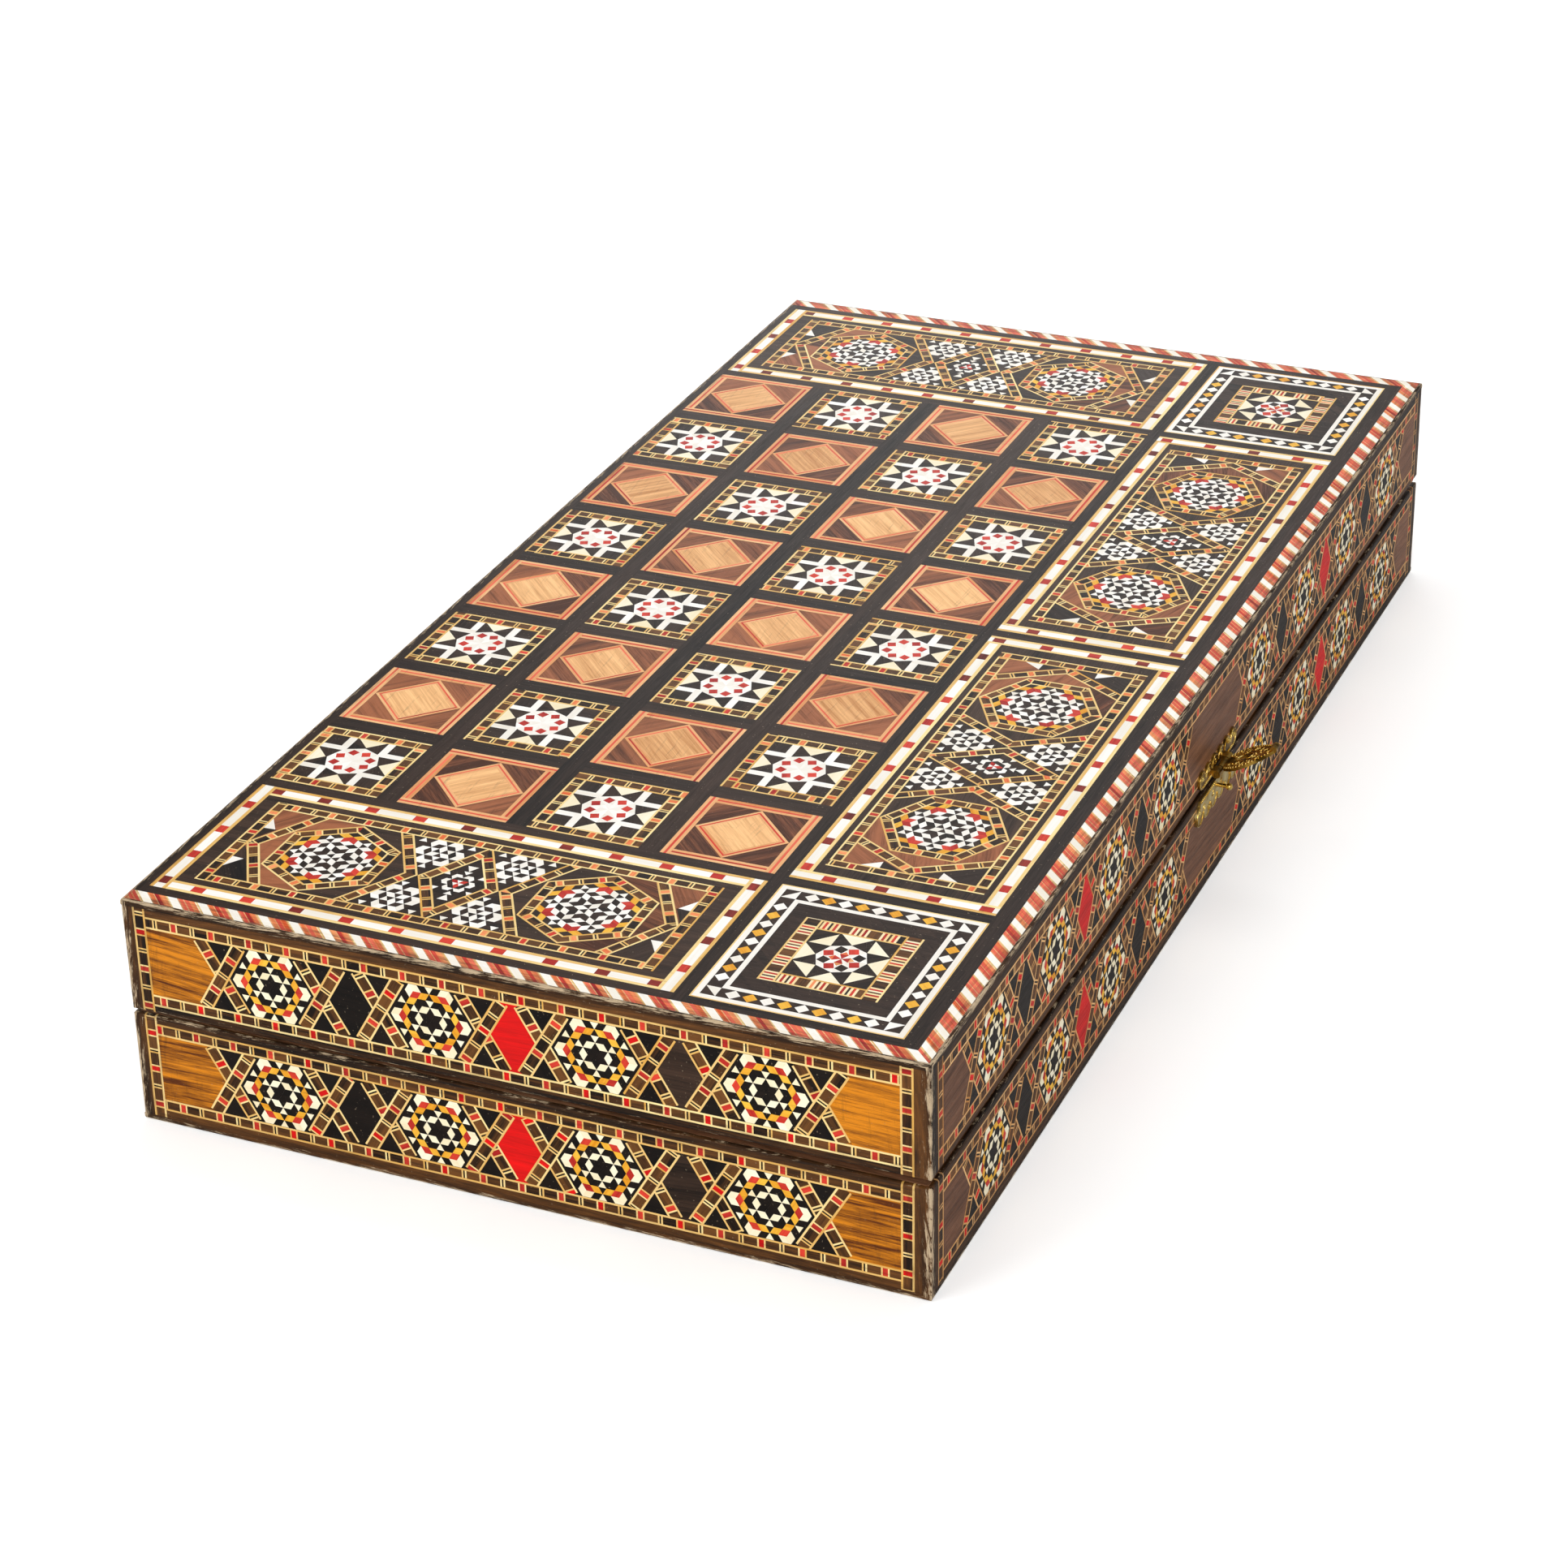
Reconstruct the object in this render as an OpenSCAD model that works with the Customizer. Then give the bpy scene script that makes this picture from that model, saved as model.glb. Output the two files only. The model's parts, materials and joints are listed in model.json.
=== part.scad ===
// Folding chess box in walnut with geometric marquetry, shut, with its clasp raised.
// Two equal trays are hinged along one long edge. Each tray's outer face carries half of
// the chessboard, so the box opens flat and turns over to play. Inside are backgammon
// points and the thirty-two chessmen. Millimetres, origin in the middle of the underside,
// +X towards the clasp, +Y along the long edge away from the front, +Z up.

/* [Box] */
// Width of the shut box, from the hinge side to the clasp side
board_w = 200; // [190:1:215]
// Length of the box, along the hinges
board_l = 400; // [390:1:430]
// Height of one tray, from its outer face to its rim
half_h = 29.6; // [27:0.1:34]
// Gap between the two rims when the box is shut
rim_gap = 0.9; // [0.7:0.1:1.2]
// Angle by which the warped lid stands open as it lies
ajar = 0.35; // [0:0.05:1]
// Thickness of the solid wood walls
wall_t = 8; // [7:0.5:10]
// Thickness of the board behind the outer face
panel_t = 4.4; // [3:0.2:6]
// Thickness of the marquetry on the outer face
face_t = 1.6; // [1:0.1:2.5]
// Thickness of the marquetry on the sides
side_t = 1.2; // [0.8:0.1:2]
// Thickness of the veneer on the tray's floor
floor_t = 0.8; // [0.5:0.1:1.5]

/* [Outer face] */
// Side of one chess square
square_w = 29.2; // [27:0.1:30]
// Ebony between two chess squares
square_gap = 5.5; // [4.5:0.1:6]
// Ebony between the hinge edge and the first column
hinge_margin = 3.2; // [2.5:0.1:5]
// From a short edge to the border panels
end_margin = 7.8; // [7:0.1:10]
// From the clasp edge to the border panels
side_margin = 9.2; // [8:0.1:11]
// Width of the rope banding along three edges
banding_w = 4.8; // [3:0.1:6]
// Ebony round the border panels
panel_gap = 3.6; // [2.5:0.1:5]
// From the centre to a corner of a border medallion
medallion_r = 16.4; // [14:0.1:17]
// From the middle of a border panel to its medallions
medallion_offset = 33.3; // [31:0.1:35]

/* [Sides] */
// From the centre to a corner of a side medallion
side_medallion_r = 10.2; // [8:0.1:11]
// From a corner of the box to the first side medallion
side_medallion_end = 38.5; // [30:0.5:44]

/* [Backgammon points] */
// Length of one backgammon point
point_l = 148; // [110:1:165]
// Space between two points at their foot
point_gap = 1.5; // [0.5:0.1:3]

/* [Hinges] */
// Length of one butt hinge
hinge_l = 32; // [24:1:44]
// From the middle of the box to the middle of each hinge
hinge_y = 128; // [110:1:150]
// Radius of the hinge knuckles
knuckle_r = 2.2; // [1.9:0.05:2.6]
// Radius of the hinge pins
pin_r = 1; // [0.8:0.05:1.2]
// How far the hinge axis lies outside the hinge face
axis_out = 0.3; // [0.2:0.05:0.5]
// Thickness of the hinge leaves
leaf_t = 1; // [0.8:0.05:1.3]
// How far a leaf reaches over the rim
leaf_reach = 7; // [5.5:0.1:8]
// Radius of a screw's shank
screw_r = 0.8; // [0.6:0.05:1]
// Radius of a screw's countersunk head
screw_head_r = 1.5; // [1.3:0.05:1.8]
// Length of a hinge screw
screw_l = 8; // [6:0.5:12]

/* [Clasp] */
// Middle of the clasp, along the box
clasp_y = 2; // [-10:0.5:10]
// Thickness of the two clasp plates
plate_t = 0.6; // [0.4:0.05:1]
// Width of the plate on the lid
top_plate_w = 31; // [28:0.5:38]
// Height of the plate on the lid
top_plate_h = 5.4; // [4.5:0.1:7]
// Width of the strike plate on the base
strike_w = 34; // [30:0.5:40]
// Height of the strike plate
strike_h = 7.2; // [6:0.1:9]
// Radius of the clasp's knuckles
clasp_knuckle_r = 1.1; // [0.9:0.05:1.3]
// Length of the hasp's knuckle
clasp_knuckle_l = 4.8; // [4:0.1:6]
// Length of each knuckle of the plate on the lid
clasp_side_knuckle_l = 3; // [2:0.1:4]
// Radius of the clasp's pin
clasp_pin_r = 0.5; // [0.35:0.05:0.6]
// Thickness of the hasp
hasp_t = 0.8; // [0.5:0.05:1]
// Length of the hasp from its pin to its tip
hasp_l = 15.5; // [14:0.5:20]
// Greatest width of the hasp
hasp_w = 11.6; // [9:0.1:14]
// Radius of the holes pierced in the hasp
hasp_hole_r = 0.75; // [0.5:0.05:1]
// Radius of the curl at the hasp's tip
hasp_curl_r = 0.9; // [0.6:0.05:1.2]
// Height of the raised hasp over the level
hasp_lift = 27; // [0:1:45]
// From the base's rim down to the ball post
post_drop = 2.4; // [2.2:0.1:3]
// Radius of the ball post's stem
stem_r = 0.55; // [0.45:0.05:0.7]
// Radius of the ball on the post
ball_r = 0.95; // [0.8:0.05:1]
// From the strike plate to the middle of the ball
ball_out = 3.2; // [2.8:0.1:3.6]
// Radius of a clasp nail's head
nail_head_r = 0.9; // [0.7:0.05:1.1]
// Radius of a clasp nail's shank
nail_r = 0.4; // [0.3:0.05:0.5]
// Length of a clasp nail
nail_l = 6; // [4:0.5:8]

/* [Chessmen] */
// Height of the king
king_h = 65; // [58:1:68]
// Height of the queen
queen_h = 58; // [52:1:62]
// Height of a bishop
bishop_h = 50; // [44:1:52]
// Height of a knight
knight_h = 44; // [40:1:47]
// Height of a rook
rook_h = 38; // [34:1:42]
// Height of a pawn
pawn_h = 33; // [29:1:35]
// Radius of the king's foot
king_r = 12.5; // [11.5:0.1:13]
// Radius of a pawn's foot
pawn_r = 9.3; // [8.5:0.1:10]
// Radius of the foot of a bishop, knight or rook
officer_r = 10.8; // [10:0.1:11.5]
// Height of the flat part of each foot
foot_h = 2.6; // [2:0.1:3.5]
// Radius of the bead under each head
bead_r = 1.1; // [0.8:0.1:1.4]
// Space between the rows of men as they lie
row_gap = 3.5; // [2:0.1:4]

/* [Hidden] */

// Colours of the woods and of the brass
walnut = "#5a3a28";
ebony = "#2a2624";
beech = "#a9805a";
marquetry_brown = "#7d5a3c";
bone = "#efe8d8";
olive_wood = "#a27a4d";
mosaic_grey = "#b9b0a2";
rope_red = "#c8603c";
brass = "#c9a24a";
boxwood = "#dcb878";
ebonised = "#332a26";

// Clearances and small allowances
running = 0.05;
swing = 0.3;
seat = 0.05;
rest_gap = 0.15;
past = 1;

// Levels of one tray, with its outer face at zero and its rim up
floor_under = face_t + panel_t;
floor_top = floor_under + floor_t;
inner_w = board_w - 2 * (side_t + wall_t);
inner_l = board_l - 2 * (side_t + wall_t);

// The hinge axis lies in the middle of the gap, just outside the hinge face
axis_x = -board_w / 2 - axis_out;
axis_z = half_h + rim_gap / 2;
shut_h = 2 * half_h + rim_gap;

// Layout of the outer face
rows = 8;
columns = 4;
square_pitch = square_w + square_gap;
squares_x = -board_w / 2 + hinge_margin;
squares_y = -((rows - 1) * square_pitch + square_w) / 2;
column_x = squares_x + (columns - 1) * square_pitch + square_w + panel_gap;
column_w = board_w / 2 - side_margin - column_x;
end_panel_l = column_x - panel_gap - squares_x;
end_panel_d = squares_y - panel_gap + board_l / 2 - end_margin;
side_panel_l = board_l / 2 - end_margin - end_panel_d - 1.5 * panel_gap;

// A border panel is its centre, its size and the way its long side runs
end_panels = [for (s = [-1, 1])
    [squares_x + end_panel_l / 2, s * (board_l / 2 - end_margin - end_panel_d / 2),
     end_panel_l, end_panel_d, 90]];
side_panels = [for (s = [-1, 1])
    [column_x + column_w / 2, s * (panel_gap + side_panel_l) / 2,
     column_w, side_panel_l, 0]];
corner_panels = [for (s = [-1, 1])
    [column_x + column_w / 2, s * (board_l / 2 - end_margin - end_panel_d / 2),
     column_w, end_panel_d]];

// Side medallions, four along each run that is as long as a short side
run_count = 4;
side_mid_z = (face_t + half_h) / 2;
function run_centres(run) = [for (k = [0:run_count - 1])
    side_medallion_end + k * (run - 2 * side_medallion_end) / (run_count - 1)];
short_centres = [for (c = run_centres(board_w)) c - board_w / 2];
long_centres = [for (s = [-1, 1]) for (c = run_centres(board_l / 2)) s * (board_l / 2 - c)];

// Parts of the hinges
knuckles = 5;
knuckle_l = hinge_l / knuckles;
hinge_spots = [-hinge_y, hinge_y];
leaf_face = swing / 2;
screw_reach = 0.62;
screw_spread = 0.3;
screw_x = -board_w / 2 + leaf_reach * screw_reach;
screw_spots = [-hinge_l * screw_spread, hinge_l * screw_spread];
head_cone_h = screw_head_r - screw_r;

// Parts of the clasp
clasp_x = board_w / 2 + plate_t + clasp_knuckle_r + swing / 2;
lid_rim_z = half_h + rim_gap;
clasp_z = lid_rim_z + swing + clasp_knuckle_r;
post_z = half_h - post_drop;
slot_r = ball_r + swing;
lid_rise = (clasp_x - axis_x) * sin(ajar);
slot_near = clasp_z - post_z - ball_r + slot_r - swing;
slot_far = norm([board_w / 2 + plate_t + ball_out + ball_r - clasp_x,
    clasp_z + lid_rise - post_z + ball_r]) + swing - slot_r;

// Nails of each plate: shares of its width from the middle, and of its height from its rim
top_nail_shares = [[0.43, 0.62], [0.27, 0.7]];
strike_nail_shares = [[0.44, 0.4], [0.2, 0.72]];
plate_edge = half_h - swing;
top_nails = [for (s = [-1, 1]) for (n = top_nail_shares)
    [clasp_y + s * top_plate_w * n[0], plate_edge - top_plate_h * n[1]]];
strike_nails = [for (s = [-1, 1]) for (n = strike_nail_shares)
    [clasp_y + s * strike_w * n[0], plate_edge - strike_h * n[1]]];

// How the chessmen lie in the base, heads to the middle, in rows from each end
queen_r = king_r - 0.5;
pawn_pitch = inner_w / 8.25;
officer_pitch = inner_w / 6.7;
royal_pitch = 2 * king_r + 7;
pawn_row = row_gap;
officer_row = pawn_row + pawn_h + row_gap;
royal_row = officer_row + bishop_h + row_gap;

// Places one tray as the lid: turned over on the base, then raised about the hinges
module ajar_lid() {
    translate([axis_x, 0, axis_z]) rotate([0, -ajar, 0]) translate([-axis_x, 0, -axis_z])
        children();
}

module as_lid() {
    ajar_lid() translate([0, 0, shut_h]) mirror([0, 0, 1]) children();
}

// Flat shape drawn along the box and up, laid on the clasp side
module on_clasp_side(x) {
    translate([x, 0, 0]) rotate([90, 0, 90]) children();
}

// Plan of one side of a mitred frame that lies "inset" inside the box
module mitred_plan(side, inset, thick) {
    x0 = board_w / 2 - inset;
    y0 = board_l / 2 - inset;
    x1 = x0 - thick;
    y1 = y0 - thick;
    if (side == "front") polygon([[-x0, -y0], [x0, -y0], [x1, -y1], [-x1, -y1]]);
    if (side == "back") polygon([[-x0, y0], [-x1, y1], [x1, y1], [x0, y0]]);
    if (side == "hinge") polygon([[-x0, -y0], [-x1, -y1], [-x1, y1], [-x0, y0]]);
    if (side == "clasp") polygon([[x0, -y0], [x0, y0], [x1, y1], [x1, -y1]]);
}

// Everything that the hinges need cut out of a tray
module hinge_cuts() {
    for (y = hinge_spots) translate([0, y, 0]) {
        translate([axis_x, -hinge_l / 2 - swing, axis_z]) rotate([-90, 0, 0])
            cylinder(r = knuckle_r + swing, h = hinge_l + 2 * swing, $fn = 48);
        translate([axis_x - past, -hinge_l / 2 - seat, axis_z - leaf_face - leaf_t - seat])
            cube([leaf_reach + axis_out + past + seat, hinge_l + 2 * seat, leaf_t + past]);
        for (s = screw_spots) translate([screw_x, s, axis_z - screw_l - leaf_face - seat])
            cylinder(r = screw_r + running, h = screw_l, $fn = 24);
    }
}

// Nail holes for one clasp plate, and the hole of the ball post where there is one
module clasp_cuts(nails, post) {
    for (n = nails) on_clasp_side(board_w / 2 - nail_l) translate([n[0], n[1], 0])
        cylinder(r = nail_r + running, h = nail_l + past, $fn = 24);
    if (post) on_clasp_side(board_w / 2 - nail_l) translate([clasp_y, post_z, 0])
        cylinder(r = stem_r + running, h = nail_l + past, $fn = 24);
}

// Walls, board, floor and inlays of one tray
module tray_wall(side, nails, post) {
    difference() {
        translate([0, 0, floor_under]) linear_extrude(half_h - floor_under)
            mitred_plan(side, side_t, wall_t);
        if (side == "hinge") hinge_cuts();
        if (side == "clasp") clasp_cuts(nails, post);
    }
}

module tray_panel() {
    translate([-board_w / 2 + side_t, -board_l / 2 + side_t, face_t])
        cube([board_w - 2 * side_t, board_l - 2 * side_t, panel_t]);
}

module side_strip(side, nails, post) {
    short = side == "front" || side == "back";
    difference() {
        translate([0, 0, face_t]) linear_extrude(half_h - face_t) mitred_plan(side, 0, side_t);
        if (short) short_hexagons(side);
        else long_hexagons(side);
        if (side == "hinge") hinge_cuts();
        if (side == "clasp") clasp_cuts(nails, post);
    }
}

module short_hexagons(side) {
    y = side == "front" ? -board_l / 2 + side_t : board_l / 2;
    for (c = short_centres) translate([c, y, side_mid_z]) rotate([90, 0, 0])
        cylinder(r = side_medallion_r, h = side_t, $fn = 6);
}

module long_hexagons(side) {
    x = side == "hinge" ? -board_w / 2 : board_w / 2 - side_t;
    for (c = long_centres) translate([x, c, side_mid_z]) rotate([90, 0, 90])
        cylinder(r = side_medallion_r, h = side_t, $fn = 6);
}

module squares(parity) {
    for (i = [0:columns - 1]) for (j = [0:rows - 1]) if ((i + j) % 2 == parity)
        translate([squares_x + i * square_pitch, squares_y + j * square_pitch, 0])
            cube([square_w, square_w, face_t]);
}

module panel_plate(p) {
    translate([p[0] - p[2] / 2, p[1] - p[3] / 2, 0]) cube([p[2], p[3], face_t]);
}

module panel_hexagons(p) {
    along = p[4] == 90 ? [1, 0, 0] : [0, 1, 0];
    for (s = [-1, 1]) translate([p[0], p[1], 0] + s * medallion_offset * along)
        rotate([0, 0, p[4]]) cylinder(r = medallion_r, h = face_t, $fn = 6);
}

module border_panels() {
    for (p = concat(end_panels, side_panels)) difference() {
        panel_plate(p);
        panel_hexagons(p);
    }
}

module border_medallions() {
    for (p = concat(end_panels, side_panels)) panel_hexagons(p);
}

module edge_banding() {
    x0 = board_w / 2;
    y0 = board_l / 2;
    linear_extrude(face_t) {
        for (s = [-1, 1]) polygon([[-x0, s * y0], [x0, s * y0],
            [x0 - banding_w, s * (y0 - banding_w)], [-x0, s * (y0 - banding_w)]]);
    }
    linear_extrude(face_t) polygon([[x0, -y0], [x0, y0], [x0 - banding_w, y0 - banding_w],
        [x0 - banding_w, -y0 + banding_w]]);
}

module ground() {
    difference() {
        translate([-board_w / 2, -board_l / 2, 0]) cube([board_w, board_l, face_t]);
        squares(0);
        squares(1);
        for (p = concat(end_panels, side_panels, corner_panels)) panel_plate(p);
        edge_banding();
    }
}

module side_medallions() {
    short_hexagons("front");
    short_hexagons("back");
    long_hexagons("hinge");
    long_hexagons("clasp");
}

// The points of both ends; as a cut they run on past the floor's edge by "beyond"
points_per_end = 6;
module points(beyond = 0) {
    pitch = inner_w / points_per_end;
    end = inner_l / 2;
    translate([0, 0, floor_under]) linear_extrude(floor_t)
        for (s = [-1, 1]) for (k = [0:points_per_end - 1]) {
            left = -inner_w / 2 + k * pitch + point_gap / 2;
            right = left + pitch - point_gap;
            polygon(concat(
                [[left, s * (end + beyond)], [right, s * (end + beyond)]],
                beyond > 0 ? [[right, s * end]] : [],
                [[(left + right) / 2, s * (end - point_l)]],
                beyond > 0 ? [[left, s * end]] : []));
        }
}

module tray_floor() {
    difference() {
        translate([-inner_w / 2, -inner_l / 2, floor_under]) cube([inner_w, inner_l, floor_t]);
        points(past);
    }
}

// One hinge leaf of the base; the lid's is the same turned over, with the other knuckles
module leaf_knuckle(k, r, gap) {
    translate([axis_x, -hinge_l / 2 + k * knuckle_l + gap, axis_z]) rotate([-90, 0, 0])
        cylinder(r = r, h = knuckle_l - 2 * gap, $fn = 48);
}

module hinge_leaf(own, others) {
    difference() {
        union() {
            translate([axis_x, -hinge_l / 2, axis_z - leaf_face - leaf_t])
                cube([leaf_reach + axis_out, hinge_l, leaf_t]);
            for (k = own) leaf_knuckle(k, knuckle_r, swing / 2);
        }
        for (k = others) leaf_knuckle(k, knuckle_r + swing, -swing / 2);
        translate([axis_x, -hinge_l / 2 - past, axis_z]) rotate([-90, 0, 0])
            cylinder(r = pin_r + running, h = hinge_l + 2 * past, $fn = 48);
        for (s = screw_spots) translate([screw_x, s, axis_z - leaf_face]) {
            translate([0, 0, -leaf_t - past])
                cylinder(r = screw_r + running, h = leaf_t + 2 * past, $fn = 24);
            translate([0, 0, -head_cone_h])
                cylinder(r1 = screw_r + running, r2 = screw_head_r + running,
                    h = head_cone_h, $fn = 24);
        }
    }
}

module hinge_screw() {
    translate([0, 0, -head_cone_h])
        cylinder(r1 = screw_r, r2 = screw_head_r, h = head_cone_h, $fn = 24);
    translate([0, 0, -screw_l]) cylinder(r = screw_r, h = screw_l - head_cone_h, $fn = 24);
}

module hinge_screws() {
    for (y = hinge_spots) for (s = screw_spots)
        translate([screw_x, y + s, axis_z - leaf_face]) hinge_screw();
}

// Stamped plate with a scalloped edge, drawn on its middle; "up" says which edge is scalloped
module scalloped_outline(w, h, up) {
    lobe = w / 12;
    translate([-w / 2 + lobe, up > 0 ? 0 : lobe]) square([w - 2 * lobe, h - lobe]);
    for (k = [0:5]) translate([-w / 2 + lobe * (2 * k + 1), up > 0 ? h - lobe : lobe])
        circle(r = lobe, $fn = 32);
}

module clasp_knuckle(from, to) {
    translate([0, from, 0]) rotate([-90, 0, 0])
        cylinder(r = clasp_knuckle_r, h = to - from, $fn = 32);
}

module clasp_bore(r) {
    translate([0, -top_plate_w / 2, 0]) rotate([-90, 0, 0])
        cylinder(r = r, h = top_plate_w, $fn = 32);
}

// The hasp lies along +X from its pin, before it is raised
hasp_widest = 0.35;
hasp_root_share = 0.62;
hasp_tip_share = 0.26;
function leaf_half_width(t) = hasp_w / 2 * (t < hasp_widest
    ? 1 - (1 - hasp_root_share) * pow(1 - t / hasp_widest, 2)
    : 1 - (1 - hasp_tip_share) * pow((t - hasp_widest) / (1 - hasp_widest), 2));
hasp_root = clasp_knuckle_r + swing;
hasp_steps = 14;
hasp_edge = [for (i = [0:hasp_steps]) let (t = i / hasp_steps)
    [hasp_root + t * (hasp_l - hasp_root), leaf_half_width(t)]];

// Holes of the hasp: shares of its length from the pin and of its width from the middle
hasp_holes = [[0.68, -0.2], [0.68, 0.2], [0.86, 0]];

module hasp_outline() {
    translate([0, -clasp_knuckle_l / 2]) square([hasp_root + past, clasp_knuckle_l]);
    polygon(concat([for (p = hasp_edge) p], [for (i = [hasp_steps:-1:0])
        [hasp_edge[i][0], -hasp_edge[i][1]]]));
}

module hasp_flat() {
    difference() {
        union() {
            translate([0, 0, -hasp_t / 2]) linear_extrude(hasp_t) hasp_outline();
            clasp_knuckle(-clasp_knuckle_l / 2, clasp_knuckle_l / 2);
            translate([hasp_l, -leaf_half_width(1), hasp_curl_r - hasp_t / 2])
                rotate([-90, 0, 0])
                cylinder(r = hasp_curl_r, h = 2 * leaf_half_width(1), $fn = 32);
        }
        clasp_bore(clasp_pin_r + running);
        for (d = [slot_near, slot_far]) translate([d, 0, -past])
            cylinder(r = slot_r, h = 2 * past, $fn = 32);
        translate([slot_near, -slot_r, -past]) cube([slot_far - slot_near, 2 * slot_r, 2 * past]);
        for (h = hasp_holes) translate([hasp_l * h[0], hasp_w * h[1], -past])
            cylinder(r = hasp_hole_r, h = 2 * past, $fn = 24);
    }
}

module at_clasp() {
    ajar_lid() translate([clasp_x, clasp_y, clasp_z]) children();
}

// The part of a ball that stands over its own centre by a share of its radius
nail_sink = 0.4;
module nail_head() {
    side = 2 * (nail_head_r + past);
    translate([0, 0, -nail_sink * nail_head_r]) difference() {
        sphere(r = nail_head_r, $fn = 24);
        translate([-side / 2, -side / 2, nail_sink * nail_head_r - side]) cube(side);
    }
}

// A nail stands on its plate: head outwards, shank into the wood
module nail(n) {
    on_clasp_side(board_w / 2 + plate_t) translate([n[0], n[1], 0]) {
        nail_head();
        translate([0, 0, -nail_l]) cylinder(r = nail_r, h = nail_l, $fn = 24);
    }
}

// Chessmen, each turned about +Z on its foot. A profile is radius and height, from the foot
// up; the shares are of the radius of the foot or of the man's height
edge_r = 0.5;
shoulder = 0.18;
stem_foot = 0.72;
slim_neck = 0.32;
curve_steps = 10;
function arc(x, z, r, from, to) = [for (i = [0:curve_steps])
    let (a = from + (to - from) * i / curve_steps) [x + r * cos(a), z + r * sin(a)]];
function foot_profile(r) = concat([[0, 0], [r - edge_r, 0], [r, edge_r]],
    arc(r * (1 - shoulder), foot_h, r * shoulder, 0, 90));
function stem_profile(r, neck, low, high) = [for (i = [0:curve_steps])
    let (t = i / curve_steps)
    [neck + (r * stem_foot - neck) * pow(1 - t, 2.4), low + (high - low) * t]];
function body_profile(r, neck, collar_z) = concat(foot_profile(r),
    stem_profile(r, neck, foot_h + r * (shoulder + 0.04), collar_z - bead_r),
    arc(neck + bead_r * 0.6, collar_z, bead_r, -90, 90));

module turned(profile) {
    rotate_extrude($fn = 64) polygon(profile);
}

pawn_head_r = pawn_r * 0.56;
pawn_head_z = pawn_h - pawn_head_r;
pawn_neck = pawn_r * 0.34;
pawn_profile = concat(
    body_profile(pawn_r, pawn_neck, pawn_head_z - pawn_head_r - bead_r * 0.4),
    arc(0, pawn_head_z, pawn_head_r, -acos(pawn_neck / pawn_head_r), 90));

rook_top_r = officer_r * 0.68;
rook_neck = officer_r * 0.46;
rook_tower_z = rook_h * 0.7;
rook_rim = officer_r * 0.2;
rook_well = rook_h * 0.1;
rook_profile = concat(body_profile(officer_r, rook_neck, rook_tower_z - bead_r * 2),
    [[rook_neck, rook_tower_z - bead_r], [rook_top_r, rook_tower_z + bead_r],
     [rook_top_r, rook_h], [rook_top_r - rook_rim, rook_h],
     [rook_top_r - rook_rim, rook_h - rook_well], [0, rook_h - rook_well]]);
module rook() {
    notch_w = rook_rim * 1.1;
    notch_h = rook_well * 0.8;
    difference() {
        turned(rook_profile);
        for (a = [0:60:120]) rotate([0, 0, a])
            translate([-officer_r, -notch_w / 2, rook_h - notch_h])
            cube([2 * officer_r, notch_w, notch_h + past]);
    }
}

bishop_head_r = officer_r * 0.52;
bishop_head_z = bishop_h * 0.74;
bishop_neck = officer_r * slim_neck;
bishop_ball_r = officer_r * 0.16;
bishop_mitre_h = bishop_h - bishop_head_z - bishop_ball_r * 1.9;
bishop_profile = concat(body_profile(officer_r, bishop_neck, bishop_h * 0.6),
    arc(0, bishop_head_z, bishop_head_r, -acos(bishop_neck / bishop_head_r), 0),
    [for (i = [1:curve_steps]) let (t = i / curve_steps)
        [bishop_head_r * pow(cos(90 * t), 0.62) + bishop_ball_r * 0.4 * t,
         bishop_head_z + bishop_mitre_h * t]],
    arc(0, bishop_h - bishop_ball_r, bishop_ball_r, -60, 90));
module bishop() {
    cut = bishop_head_r * 0.2;
    difference() {
        turned(bishop_profile);
        translate([2 * cut, -officer_r, bishop_head_z + 2 * cut]) rotate([0, -38, 0])
            cube([officer_r, 2 * officer_r, cut]);
    }
}

// King and queen: two beads, a flaring crown with a flat rim "rim" high, then a dome
collar_share = 0.56;
crown_share = 0.62;
crown_rim = 1.2;
function crowned_profile(r, h, crown_z, dome_h) =
    let (neck = r * slim_neck, crown_r = r * crown_share, rim_z = crown_z + crown_rim * 1.5)
    concat(body_profile(r, neck, h * collar_share),
        arc(neck + bead_r * 0.4, h * collar_share + bead_r * 1.9, bead_r * 0.8, -90, 90),
        [for (i = [1:curve_steps]) let (t = i / curve_steps)
            [neck + (crown_r - neck) * pow(t, 1.7),
             h * crown_share + (crown_z - h * crown_share) * t]],
        [[crown_r, crown_z + crown_rim], [crown_r - crown_rim, rim_z]],
        [for (i = [0:curve_steps]) let (a = 65 * i / curve_steps)
            [(crown_r - 1.5 * crown_rim) * cos(a), rim_z + dome_h * sin(a)]]);

queen_crown_z = queen_h - queen_r * 0.7;
queen_ball_r = queen_r * 0.18;
queen_profile = concat(crowned_profile(queen_r, queen_h, queen_crown_z, queen_r * 0.2),
    arc(0, queen_h - queen_ball_r, queen_ball_r, -60, 90));
module queen() {
    scoop_r = queen_r * 0.13;
    difference() {
        turned(queen_profile);
        for (a = [0:45:315]) rotate([0, 0, a])
            translate([queen_r * crown_share + scoop_r / 2, 0, queen_crown_z - scoop_r])
            cylinder(r = scoop_r, h = 4 * scoop_r, $fn = 24);
    }
}

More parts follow.
